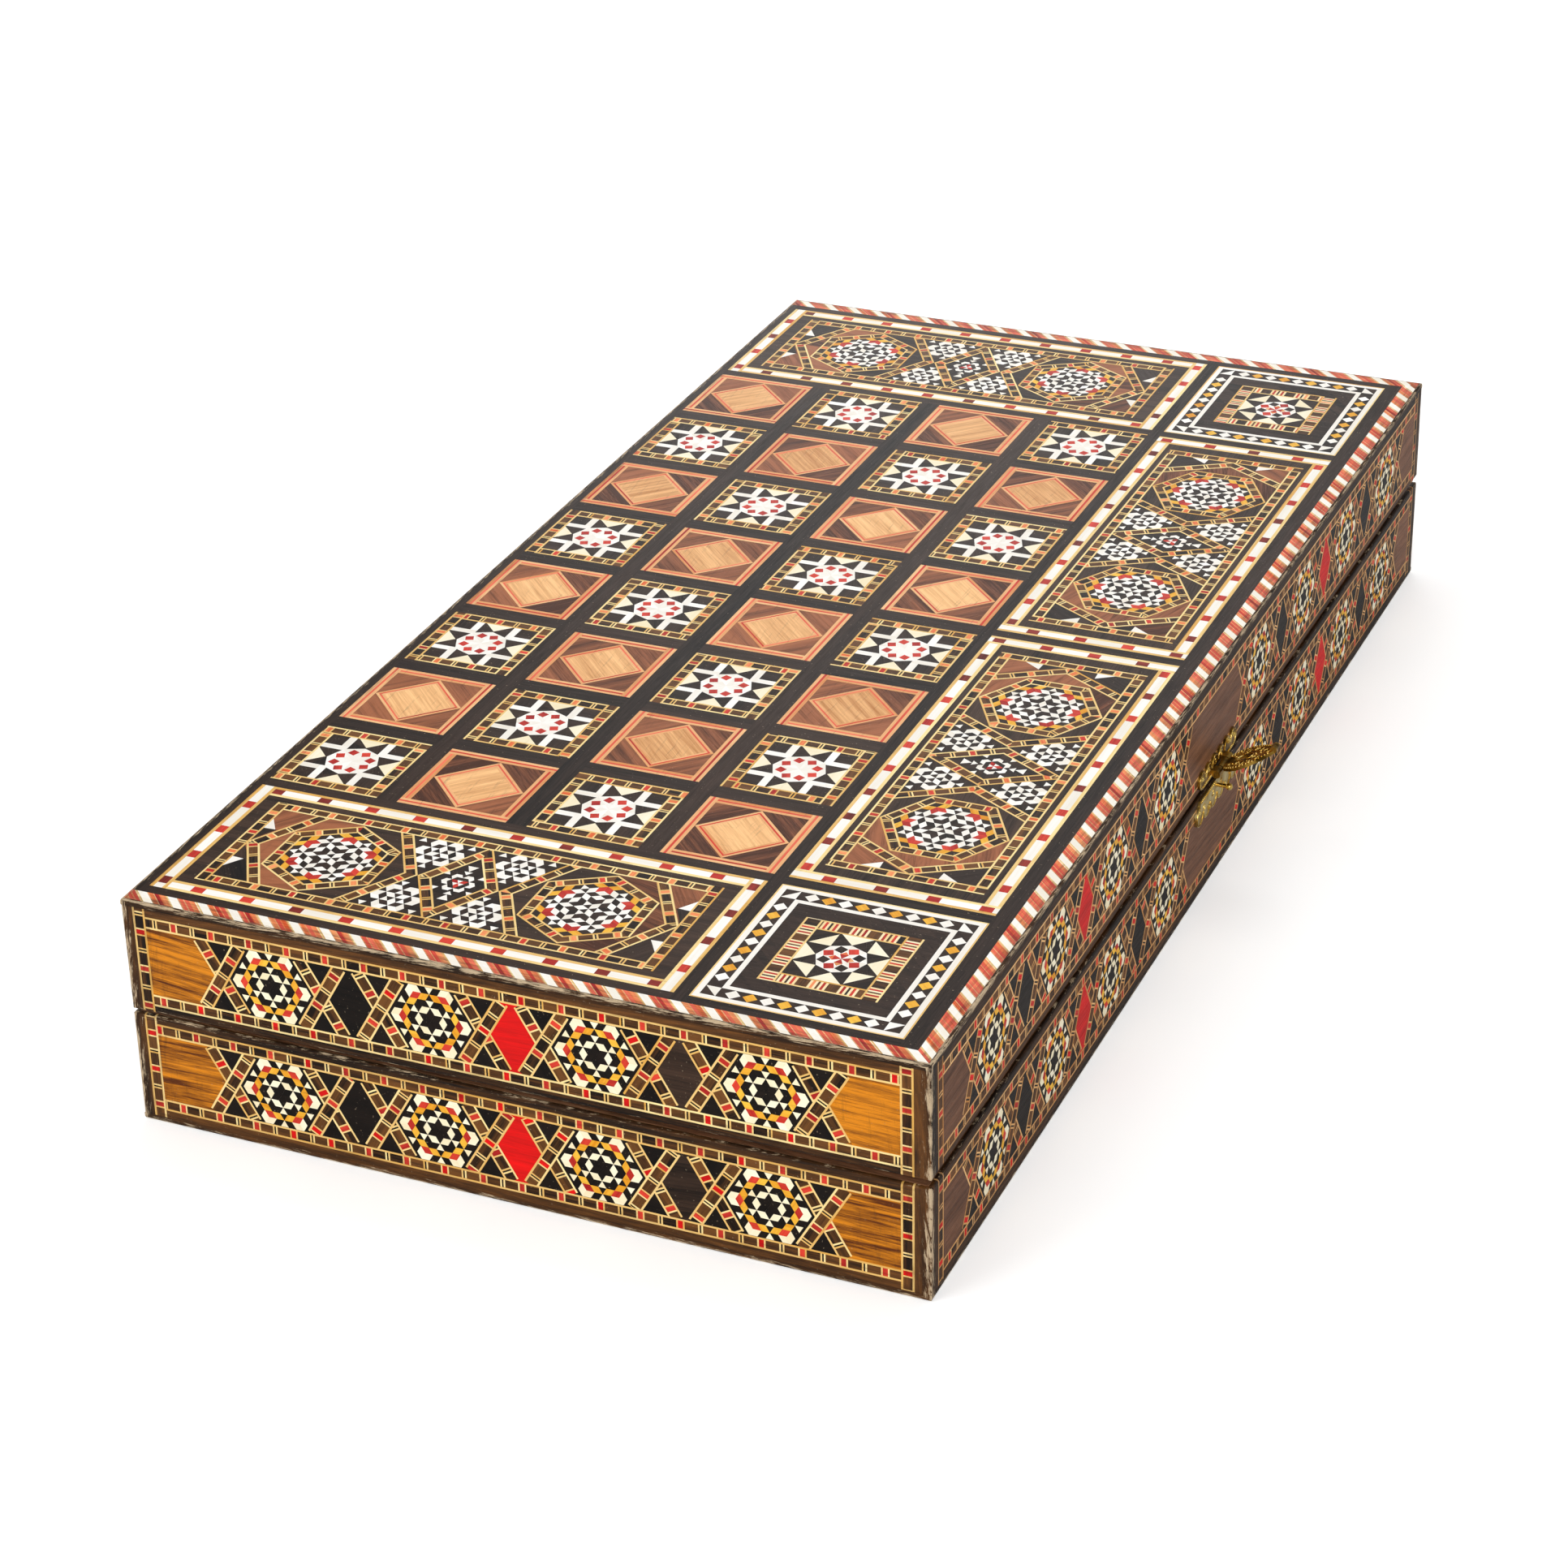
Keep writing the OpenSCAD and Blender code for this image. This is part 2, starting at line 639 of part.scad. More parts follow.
king_crown_z = king_h - king_r * 1.04;
king_dome_z = king_crown_z + king_r * 0.48;
king_arm = king_r * 0.17;
king_profile = concat(crowned_profile(king_r, king_h, king_crown_z, king_r * 0.3),
    [[king_arm * 0.9, king_dome_z], [0, king_dome_z]]);
module king() {
    turned(king_profile);
    translate([-king_arm / 2, -king_arm / 2, king_dome_z - past])
        cube([king_arm, king_arm, king_h - king_dome_z + past]);
    translate([-king_arm * 1.7, -king_arm / 2, king_h - king_arm * 2.3])
        cube([king_arm * 3.4, king_arm, king_arm]);
}

// The knight's head is cut from a flat block and narrowed towards the ears, then set on a
// turned foot. Its side is given in shares of the foot's radius and of the head's height,
// its front in shares of half the block's thickness and of that height
knight_side = [[-0.48, 0], [-0.69, 0.2], [-0.67, 0.43], [-0.44, 0.66], [-0.14, 0.84],
    [0.06, 1], [0.2, 0.88], [0.43, 0.8], [0.78, 0.53], [0.81, 0.43], [0.63, 0.35],
    [0.43, 0.41], [0.17, 0.43], [0.33, 0.29], [0.52, 0.12], [0.5, 0]];
knight_front = [[1, 0], [1, 0.45], [0.5, 1]];
knight_t = officer_r * 0.92;
knight_sink = 0.4;
knight_head_h = knight_h * 0.6;
knight_foot_h = knight_h - knight_head_h + knight_sink;
knight_edge = [for (p = knight_front) [p[0] * knight_t / 2, p[1] * knight_head_h]];
knight_body = body_profile(officer_r, officer_r * 0.54, knight_foot_h - bead_r);
knight_profile = concat(knight_body,
    [for (p = knight_edge) [p[0], p[1] + knight_foot_h - knight_sink]]);
module knight() {
    turned(concat(knight_body, [[0, knight_foot_h]]));
    translate([0, 0, knight_foot_h - knight_sink]) rotate([90, 0, 0]) intersection() {
        translate([0, 0, -knight_t]) linear_extrude(2 * knight_t)
            polygon([for (p = knight_side) [p[0] * officer_r, p[1] * knight_head_h]]);
        rotate([0, -90, 0]) translate([0, 0, -officer_r]) linear_extrude(2 * officer_r)
            polygon(concat(knight_edge, [for (i = [len(knight_edge) - 1:-1:0])
                [-knight_edge[i][0], knight_edge[i][1]]]));
    }
}

// Lays a man on the floor with his head towards +Y, resting on the rim of his foot and on
// the point above its shoulder that meets the veneer first
module lying(profile) {
    foot_r = max([for (p = profile) p[0]]);
    low = foot_h + foot_r * shoulder;
    dip = min([for (p = profile) if (p[1] > low) atan2(foot_r - p[0], p[1] - foot_h)]);
    depth = max([for (p = profile) p[0] * cos(dip) + p[1] * sin(dip)]);
    translate([0, foot_r * sin(dip), floor_top + rest_gap + depth])
        rotate([-90 - dip, 0, 0]) children();
}

// Puts a man in his row at the front end; black is the same turned half round
module placed(black, x, row) {
    rotate([0, 0, black ? 180 : 0]) translate([x, -inner_l / 2 + row, 0]) children();
}

module kings(black) {
    placed(black, royal_pitch / 2, royal_row) lying(king_profile) king();
}

module queens(black) {
    placed(black, -royal_pitch / 2, royal_row) lying(queen_profile)
        rotate([0, 0, 22.5]) queen();
}

module bishops(black) {
    for (s = [-1, 1]) placed(black, s * officer_pitch / 2, officer_row)
        lying(bishop_profile) bishop();
}

module knights(black) {
    for (s = [-1, 1]) placed(black, s * officer_pitch * 1.5, officer_row)
        lying(knight_profile) knight();
}

module rooks(black) {
    for (s = [-1, 1]) placed(black, s * officer_pitch * 2.5, officer_row)
        lying(rook_profile) rook();
}

module pawns(black) {
    for (k = [0:7]) placed(black, (k - 3.5) * pawn_pitch, pawn_row)
        lying(pawn_profile) turned(pawn_profile);
}

// The base tray
module base_front_wall() { color(beech) tray_wall("front", [], false); }
module base_back_wall() { color(beech) tray_wall("back", [], false); }
module base_hinge_wall() { color(beech) tray_wall("hinge", [], false); }
module base_clasp_wall() { color(beech) tray_wall("clasp", strike_nails, true); }
module base_panel() { color(beech) tray_panel(); }
module base_ground() { color(ebony) ground(); }
module base_star_squares() { color(bone) squares(1); }
module base_diamond_squares() { color(olive_wood) squares(0); }
module base_border_panels() { color(walnut) border_panels(); }
module base_border_medallions() { color(mosaic_grey) border_medallions(); }
module base_corner_panels() { color(bone) for (p = corner_panels) panel_plate(p); }
module base_edge_banding() { color(rope_red) edge_banding(); }
module base_short_sides() {
    color(marquetry_brown) for (s = ["front", "back"]) side_strip(s, [], false);
}
module base_long_sides() {
    color(marquetry_brown) for (s = ["hinge", "clasp"]) side_strip(s, strike_nails, true);
}
module base_side_medallions() { color(mosaic_grey) side_medallions(); }
module base_floor() { color(walnut) tray_floor(); }
module base_points() { color(olive_wood) points(); }

// The lid tray
module lid_front_wall() { color(beech) as_lid() tray_wall("front", [], false); }
module lid_back_wall() { color(beech) as_lid() tray_wall("back", [], false); }
module lid_hinge_wall() { color(beech) as_lid() tray_wall("hinge", [], false); }
module lid_clasp_wall() { color(beech) as_lid() tray_wall("clasp", top_nails, false); }
module lid_panel() { color(beech) as_lid() tray_panel(); }
module lid_ground() { color(ebony) as_lid() ground(); }
module lid_star_squares() { color(bone) as_lid() squares(0); }
module lid_diamond_squares() { color(olive_wood) as_lid() squares(1); }
module lid_border_panels() { color(walnut) as_lid() border_panels(); }
module lid_border_medallions() { color(mosaic_grey) as_lid() border_medallions(); }
module lid_corner_panels() {
    color(bone) as_lid() for (p = corner_panels) panel_plate(p);
}
module lid_edge_banding() { color(rope_red) as_lid() edge_banding(); }
module lid_short_sides() {
    color(marquetry_brown) as_lid() for (s = ["front", "back"]) side_strip(s, [], false);
}
module lid_long_sides() {
    color(marquetry_brown) as_lid() for (s = ["hinge", "clasp"])
        side_strip(s, top_nails, false);
}
module lid_side_medallions() { color(mosaic_grey) as_lid() side_medallions(); }
module lid_floor() { color(walnut) as_lid() tray_floor(); }
module lid_points() { color(olive_wood) as_lid() points(); }

// Brassware
module base_hinge_leaves() {
    color(brass) for (y = hinge_spots) translate([0, y, 0]) hinge_leaf([0, 2, 4], [1, 3]);
}
module lid_hinge_leaves() {
    color(brass) as_lid() for (y = hinge_spots) translate([0, y, 0])
        hinge_leaf([1, 3], [0, 2, 4]);
}
module hinge_pins() {
    color(brass) for (y = hinge_spots) translate([axis_x, y - hinge_l / 2, axis_z])
        rotate([-90, 0, 0]) cylinder(r = pin_r, h = hinge_l, $fn = 48);
}
module base_hinge_screws() { color(brass) hinge_screws(); }
module lid_hinge_screws() { color(brass) as_lid() hinge_screws(); }
module clasp_plate() {
    knuckle_in = clasp_knuckle_l / 2 + swing;
    knuckle_out = knuckle_in + clasp_side_knuckle_l;
    color(brass) difference() {
        union() {
            ajar_lid() on_clasp_side(board_w / 2) translate([clasp_y, lid_rim_z + swing, 0])
                linear_extrude(plate_t) scalloped_outline(top_plate_w, top_plate_h, 1);
            at_clasp() for (s = [-1, 1]) {
                clasp_knuckle(s > 0 ? knuckle_in : -knuckle_out,
                    s > 0 ? knuckle_out : -knuckle_in);
                translate([-clasp_knuckle_r - swing / 2, s > 0 ? knuckle_in : -knuckle_out, 0])
                    cube([clasp_knuckle_r + swing / 2, clasp_side_knuckle_l,
                        clasp_knuckle_r]);
            }
        }
        at_clasp() clasp_bore(clasp_pin_r + running);
        as_lid() clasp_cuts(top_nails, false);
    }
}
module hasp() { color(brass) at_clasp() rotate([0, -hasp_lift, 0]) hasp_flat(); }
module clasp_pin() {
    half = clasp_knuckle_l / 2 + swing + clasp_side_knuckle_l;
    color(brass) at_clasp() translate([0, -half, 0]) rotate([-90, 0, 0])
        cylinder(r = clasp_pin_r, h = 2 * half, $fn = 32);
}
module strike_plate() {
    color(brass) difference() {
        on_clasp_side(board_w / 2) translate([clasp_y, plate_edge - strike_h, 0])
            linear_extrude(plate_t) scalloped_outline(strike_w, strike_h, -1);
        clasp_cuts(strike_nails, true);
    }
}
module ball_post() {
    color(brass) on_clasp_side(board_w / 2 - nail_l) translate([clasp_y, post_z, 0]) {
        cylinder(r = stem_r, h = nail_l + plate_t + ball_out, $fn = 24);
        translate([0, 0, nail_l + plate_t + ball_out]) sphere(r = ball_r, $fn = 32);
    }
}
module clasp_plate_nails() { color(brass) as_lid() for (n = top_nails) nail(n); }
module strike_plate_nails() { color(brass) for (n = strike_nails) nail(n); }

// Chessmen
module white_king() { color(boxwood) kings(false); }
module white_queen() { color(boxwood) queens(false); }
module white_bishops() { color(boxwood) bishops(false); }
module white_knights() { color(boxwood) knights(false); }
module white_rooks() { color(boxwood) rooks(false); }
module white_pawns() { color(boxwood) pawns(false); }
module black_king() { color(ebonised) kings(true); }
module black_queen() { color(ebonised) queens(true); }
module black_bishops() { color(ebonised) bishops(true); }
module black_knights() { color(ebonised) knights(true); }
module black_rooks() { color(ebonised) rooks(true); }
module black_pawns() { color(ebonised) pawns(true); }

base_front_wall();
base_back_wall();
base_hinge_wall();
base_clasp_wall();
base_panel();
base_ground();
base_star_squares();
base_diamond_squares();
base_border_panels();
base_border_medallions();
base_corner_panels();
base_edge_banding();
base_short_sides();
base_long_sides();
base_side_medallions();
base_floor();
base_points();
lid_front_wall();
lid_back_wall();
lid_hinge_wall();
lid_clasp_wall();
lid_panel();
lid_ground();
lid_star_squares();
lid_diamond_squares();
lid_border_panels();
lid_border_medallions();
lid_corner_panels();
lid_edge_banding();
lid_short_sides();
lid_long_sides();
lid_side_medallions();
lid_floor();
lid_points();
base_hinge_leaves();
lid_hinge_leaves();
hinge_pins();
base_hinge_screws();
lid_hinge_screws();
clasp_plate();
hasp();
clasp_pin();
strike_plate();
ball_post();
clasp_plate_nails();
strike_plate_nails();
white_king();
white_queen();
white_bishops();
white_knights();
white_rooks();
white_pawns();
black_king();
black_queen();
black_bishops();
black_knights();
black_rooks();
black_pawns();
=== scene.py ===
# %% [markdown]
# A shut chess box in marquetry
#
# The object is two wooden trays hinged together and covered with inlaid wood and bone. A marquetry maker
# saws rods of dyed wood, glues them into bundles, slices the bundles and lays the slices like tiles. This
# lesson does the same: each inlaid face is drawn flat in millimetres as small convex shapes, each shape
# gets a wood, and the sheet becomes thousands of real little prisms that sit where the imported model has
# its plain veneers.

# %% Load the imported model
import itertools
import json
import math
import random

import bpy
from mathutils import Matrix, Vector


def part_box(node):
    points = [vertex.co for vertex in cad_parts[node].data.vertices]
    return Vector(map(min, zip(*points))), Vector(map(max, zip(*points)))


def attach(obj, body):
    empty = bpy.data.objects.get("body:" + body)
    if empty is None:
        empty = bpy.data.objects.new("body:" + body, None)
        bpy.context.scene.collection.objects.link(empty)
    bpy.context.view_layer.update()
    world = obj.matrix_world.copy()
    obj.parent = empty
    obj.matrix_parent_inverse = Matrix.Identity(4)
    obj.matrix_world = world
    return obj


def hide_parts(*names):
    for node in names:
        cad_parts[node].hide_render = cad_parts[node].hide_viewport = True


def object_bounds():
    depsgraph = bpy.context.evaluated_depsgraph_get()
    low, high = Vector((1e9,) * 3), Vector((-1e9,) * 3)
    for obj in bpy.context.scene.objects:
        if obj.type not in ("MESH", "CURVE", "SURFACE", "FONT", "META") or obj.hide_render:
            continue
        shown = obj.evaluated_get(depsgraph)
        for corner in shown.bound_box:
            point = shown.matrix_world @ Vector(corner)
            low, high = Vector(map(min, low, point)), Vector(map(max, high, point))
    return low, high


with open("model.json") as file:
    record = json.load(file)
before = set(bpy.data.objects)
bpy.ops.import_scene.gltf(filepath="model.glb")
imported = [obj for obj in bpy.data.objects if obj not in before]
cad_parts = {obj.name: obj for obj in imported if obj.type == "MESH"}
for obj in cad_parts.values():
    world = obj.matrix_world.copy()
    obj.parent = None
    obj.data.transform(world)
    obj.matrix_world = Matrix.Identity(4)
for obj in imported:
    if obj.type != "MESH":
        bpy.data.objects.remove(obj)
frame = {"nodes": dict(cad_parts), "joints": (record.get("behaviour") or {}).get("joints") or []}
cad_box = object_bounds()
bpy.ops.object.select_all(action="DESELECT")
mm = 0.001
print("CAD box in mm:", [round(c / mm, 1) for corner in cad_box for c in corner])

# %% [markdown]
# The camera
#
# The photograph was taken from the clasp side of the front, well above the box, with a long lens. The
# visible corners of the box fix the angles, the lens and the distance, so the camera is placed by angles
# round a target in the middle of the box, and then slid a little sideways and down.

# %% Camera at the photograph's viewing angle
camera_turn = math.radians(23.6)
camera_rise = math.radians(28.45)
camera_roll = math.radians(-1.14)
camera_far = 1.042
camera_slide = (-18.2 * mm, -18.8 * mm)
camera_target = Vector((0, 0, 30 * mm))

looking = Vector((-math.sin(camera_turn) * math.cos(camera_rise),
                  math.cos(camera_turn) * math.cos(camera_rise),
                  -math.sin(camera_rise)))
level = looking.cross(Vector((0, 0, 1))).normalized()
upward = level.cross(looking)
right = level * math.cos(camera_roll) + upward * math.sin(camera_roll)
up = upward * math.cos(camera_roll) - level * math.sin(camera_roll)
eye = camera_target - looking * camera_far + right * camera_slide[0] + up * camera_slide[1]

camera = bpy.data.objects.new("camera", bpy.data.cameras.new("camera"))
bpy.context.scene.collection.objects.link(camera)
camera.data.lens = 90.0
camera.data.sensor_width = 36.0
camera.matrix_world = Matrix.Translation(eye) @ Matrix((right, up, -looking)).transposed().to_4x4()
bpy.context.scene.camera = camera
bpy.context.scene.view_settings.view_transform = "Standard"
print("camera stands at", [round(c, 3) for c in eye])

# %% [markdown]
# Colours and nodes
#
# Colours are written as the sRGB hex values that a colour picker shows, and one function turns them to
# the linear light that shaders work in. One more function adds a node with its settings and links.


# %% Colour and node helpers
def linear(hex_colour):
    """The linear RGBA of an sRGB hex colour."""
    parts = [int(hex_colour[i:i + 2], 16) / 255 for i in (1, 3, 5)]
    return [c / 12.92 if c <= 0.04045 else ((c + 0.055) / 1.055) ** 2.4 for c in parts] + [1.0]


def add(tree, kind, inputs=None, **settings):
    """Adds a node, sets its properties and fills its inputs with links or values."""
    node = tree.nodes.new(kind)
    for name, value in settings.items():
        setattr(node, name, value)
    for name, value in (inputs or {}).items():
        if isinstance(value, bpy.types.NodeSocket):
            tree.links.new(value, node.inputs[name])
        else:
            node.inputs[name].default_value = value
    return node


def new_material(name):
    """An empty node material and the shader that its nodes will feed."""
    material = bpy.data.materials.new(name)
    material.use_nodes = True
    tree = material.node_tree
    tree.nodes.clear()
    shader = add(tree, "ShaderNodeBsdfPrincipled")
    add(tree, "ShaderNodeOutputMaterial", {"Surface": shader.outputs[0]})
    return material, tree, shader


# %% [markdown]
# Floor and light
#
# The photograph has a pure white ground with a faint soft shadow to the right. The floor is a pale matt
# sheet that also glows a little for the camera alone, so that its lit part reaches white and the shadow
# stays. Floor and sky are greyer in reflections than in plain sight, or their sheen would veil the dark
# woods. Four large soft lamps light the object evenly, at a level at which a colour renders about as it
# is written. A weak fifth one stands low behind the box, and its sheen makes the far end paler.

# %% White floor, sky and lamps
floor_z = cad_box[0].z
bpy.ops.mesh.primitive_plane_add(size=12, location=(0, 0, floor_z - 0.05 * mm))
studio_floor = bpy.context.object
studio_floor.name = "studio_floor"
paper, tree, shader = new_material("matt_white_paper")
shader.inputs["Roughness"].default_value = 0.9
shader.inputs["Emission Color"].default_value = (1, 1, 1, 1)
path = add(tree, "ShaderNodeLightPath")
plain_shade, reflected_shade = linear("#ededed"), linear("#b0b0b0")
shade = add(tree, "ShaderNodeMix", {0: path.outputs["Is Glossy Ray"], 6: plain_shade, 7: reflected_shade},
            data_type="RGBA")
tree.links.new(shade.outputs[2], shader.inputs["Base Color"])
own_light = 0.32
glow = add(tree, "ShaderNodeMath", {0: path.outputs["Is Camera Ray"], 1: own_light}, operation="MULTIPLY")
tree.links.new(glow.outputs[0], shader.inputs["Emission Strength"])
studio_floor.data.materials.append(paper)

sky = bpy.data.worlds.new("white_studio")
sky.use_nodes = True
sky.node_tree.nodes.clear()
tree = sky.node_tree
path = add(tree, "ShaderNodeLightPath")
sky_power, less_in_reflections = 0.55, -0.3
seen = add(tree, "ShaderNodeMath", {0: path.outputs["Is Camera Ray"],
                                    1: path.outputs["Is Transmission Ray"]}, operation="MAXIMUM")
unseen = add(tree, "ShaderNodeMath", {0: path.outputs["Is Glossy Ray"], 1: less_in_reflections,
                                      2: sky_power}, operation="MULTIPLY_ADD")
strength = add(tree, "ShaderNodeMapRange", {"Value": seen.outputs[0], "To Min": unseen.outputs[0],
                                            "To Max": 1.0})
sky_light = add(tree, "ShaderNodeBackground", {"Color": (1, 1, 1, 1), "Strength": strength.outputs[0]})
add(tree, "ShaderNodeOutputWorld", {"Surface": sky_light.outputs[0]})
bpy.context.scene.world = sky

# Each lamp's place and size in metres and its power in watts. All of them point at the box.
lamps = {"key_lamp": ((-1.1, -1.5, 1.8), 1.2, 18), "front_lamp": ((0.9, -2.0, 1.0), 1.4, 22),
         "side_lamp": ((2.2, 0.2, 1.1), 1.2, 4), "overhead_lamp": ((0.0, 0.6, 1.5), 0.8, 5),
         "sheen_lamp": ((-0.5, 1.3, 0.35), 0.6, 2)}
for name, (place, size, power) in lamps.items():
    lamp = bpy.data.objects.new(name, bpy.data.lights.new(name, "AREA"))
    lamp.data.shape = "SQUARE"
    lamp.data.size = size
    lamp.data.energy = power
    lamp.location = place
    lamp.rotation_euler = (camera_target - Vector(place)).to_track_quat("-Z", "Y").to_euler()
    bpy.context.scene.collection.objects.link(lamp)
print("floor at", round(floor_z / mm, 2), "mm, and", len(lamps), "lamps")

# %% [markdown]
# Woods and wear
#
# Every inlaid piece is sliced from a rod, so its grain runs its own way and its tone differs from its
# neighbour's. Each face of the inlay therefore carries two attributes: the direction of its grain and a
# tone from 0 to 1. The wood function stretches noise along that direction, in fibres of a real width,
# and runs it through a two-colour ramp. Fibres thinner than a pixel are drawn about twice as wide.
# The outside was waxed and rubbed for years: it reflects less than varnish would, along the box's edges
# the stain is worn to pale specks, and a little further in dirt has gathered.

# %% The box's worn edges
half_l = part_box("base_edge_banding")[1].y / mm
half_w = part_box("base_edge_banding")[1].x / mm
hinge = next(j for j in frame["joints"] if j["name"] == "lid_hinge")
hinge_x, hinge_z = hinge["pos_m"][0] / mm, hinge["pos_m"][2] / mm
ajar = math.radians(-hinge["range_deg"][0])
shut_h = 2 * hinge_z


def wear_group():
    """How worn and how grimy a point is, by its distance to the nearest outer edge of the shut box."""
    group = bpy.data.node_groups.new("edge_wear", "ShaderNodeTree")
    for output in ("Worn", "Grime"):
        group.interface.new_socket(output, in_out="OUTPUT", socket_type="NodeSocketFloat")
    place = add(group, "ShaderNodeTexCoord").outputs["Object"]
    axes = add(group, "ShaderNodeSeparateXYZ", {0: place})

    def maths(operation, a, b=0.0):
        return add(group, "ShaderNodeMath", {0: a, 1: b}, operation=operation).outputs[0]

    # The distances to the base's and lid's faces, to the gap between the trays, to a side and to an end.
    slope = maths("MULTIPLY", maths("ADD", axes.outputs[0], -hinge_x * mm), math.tan(ajar))
    lid_top = maths("SUBTRACT", maths("ADD", slope, shut_h * mm), axes.outputs[2])
    to_face = maths("MINIMUM", maths("ABSOLUTE", lid_top), maths("ABSOLUTE", axes.outputs[2]))
    middle = maths("SUBTRACT", maths("MULTIPLY", slope, 0.5), maths("ADD", axes.outputs[2], -hinge_z * mm))
    to_face = maths("MINIMUM", to_face, maths("ABSOLUTE", middle))
    to_side = maths("ABSOLUTE", maths("SUBTRACT", half_w * mm, maths("ABSOLUTE", axes.outputs[0])))
    to_end = maths("ABSOLUTE", maths("SUBTRACT", half_l * mm, maths("ABSOLUTE", axes.outputs[1])))
    # An edge is where two of them are small. Upright edges are worn further in than level ones.
    low = maths("MINIMUM", to_side, to_end)
    high = maths("MULTIPLY", maths("MAXIMUM", to_side, to_end), 0.6)
    second = maths("MAXIMUM", low, maths("MINIMUM", high, to_face))
    # Specks are six times as long along the edge as across: the place counts for 0.16 of itself in the
    # noise, and the distance from the edge counts in full.
    away = add(group, "ShaderNodeVectorMath", {0: (1.0, 1.0, -1.0), "Scale": second}, operation="SCALE")
    drawn = add(group, "ShaderNodeVectorMath", {0: place, 1: (0.16, 0.16, 0.16), 2: away.outputs[0]},
                operation="MULTIPLY_ADD").outputs[0]
    ends = add(group, "NodeGroupOutput")
    # How far in from the edge in mm, the speck size in mm, the detail, the ramp, and the most of it.
    for output, reach, grain, detail, start, stop, most in (("Worn", 2.2, 0.7, 5.0, 1.0, 1.1, 0.8),
                                                            ("Grime", 6.0, 1.6, 6.0, 0.84, 1.15, 0.75)):
        near = add(group, "ShaderNodeMapRange", {"Value": second, "From Min": reach * mm, "From Max": 0.0,
                                                 "To Min": 0.28, "To Max": 0.6})
        specks = add(group, "ShaderNodeTexNoise", {"Vector": drawn, "Scale": 1 / (grain * mm),
                                                   "Detail": detail, "Roughness": 0.75})
        over = maths("ADD", near.outputs[0], specks.outputs[0])
        amount = add(group, "ShaderNodeMapRange", {"Value": over, "From Min": start, "From Max": stop,
                                                   "To Max": most})
        group.links.new(amount.outputs[0], ends.inputs[output])
    return group


edge_wear = wear_group()


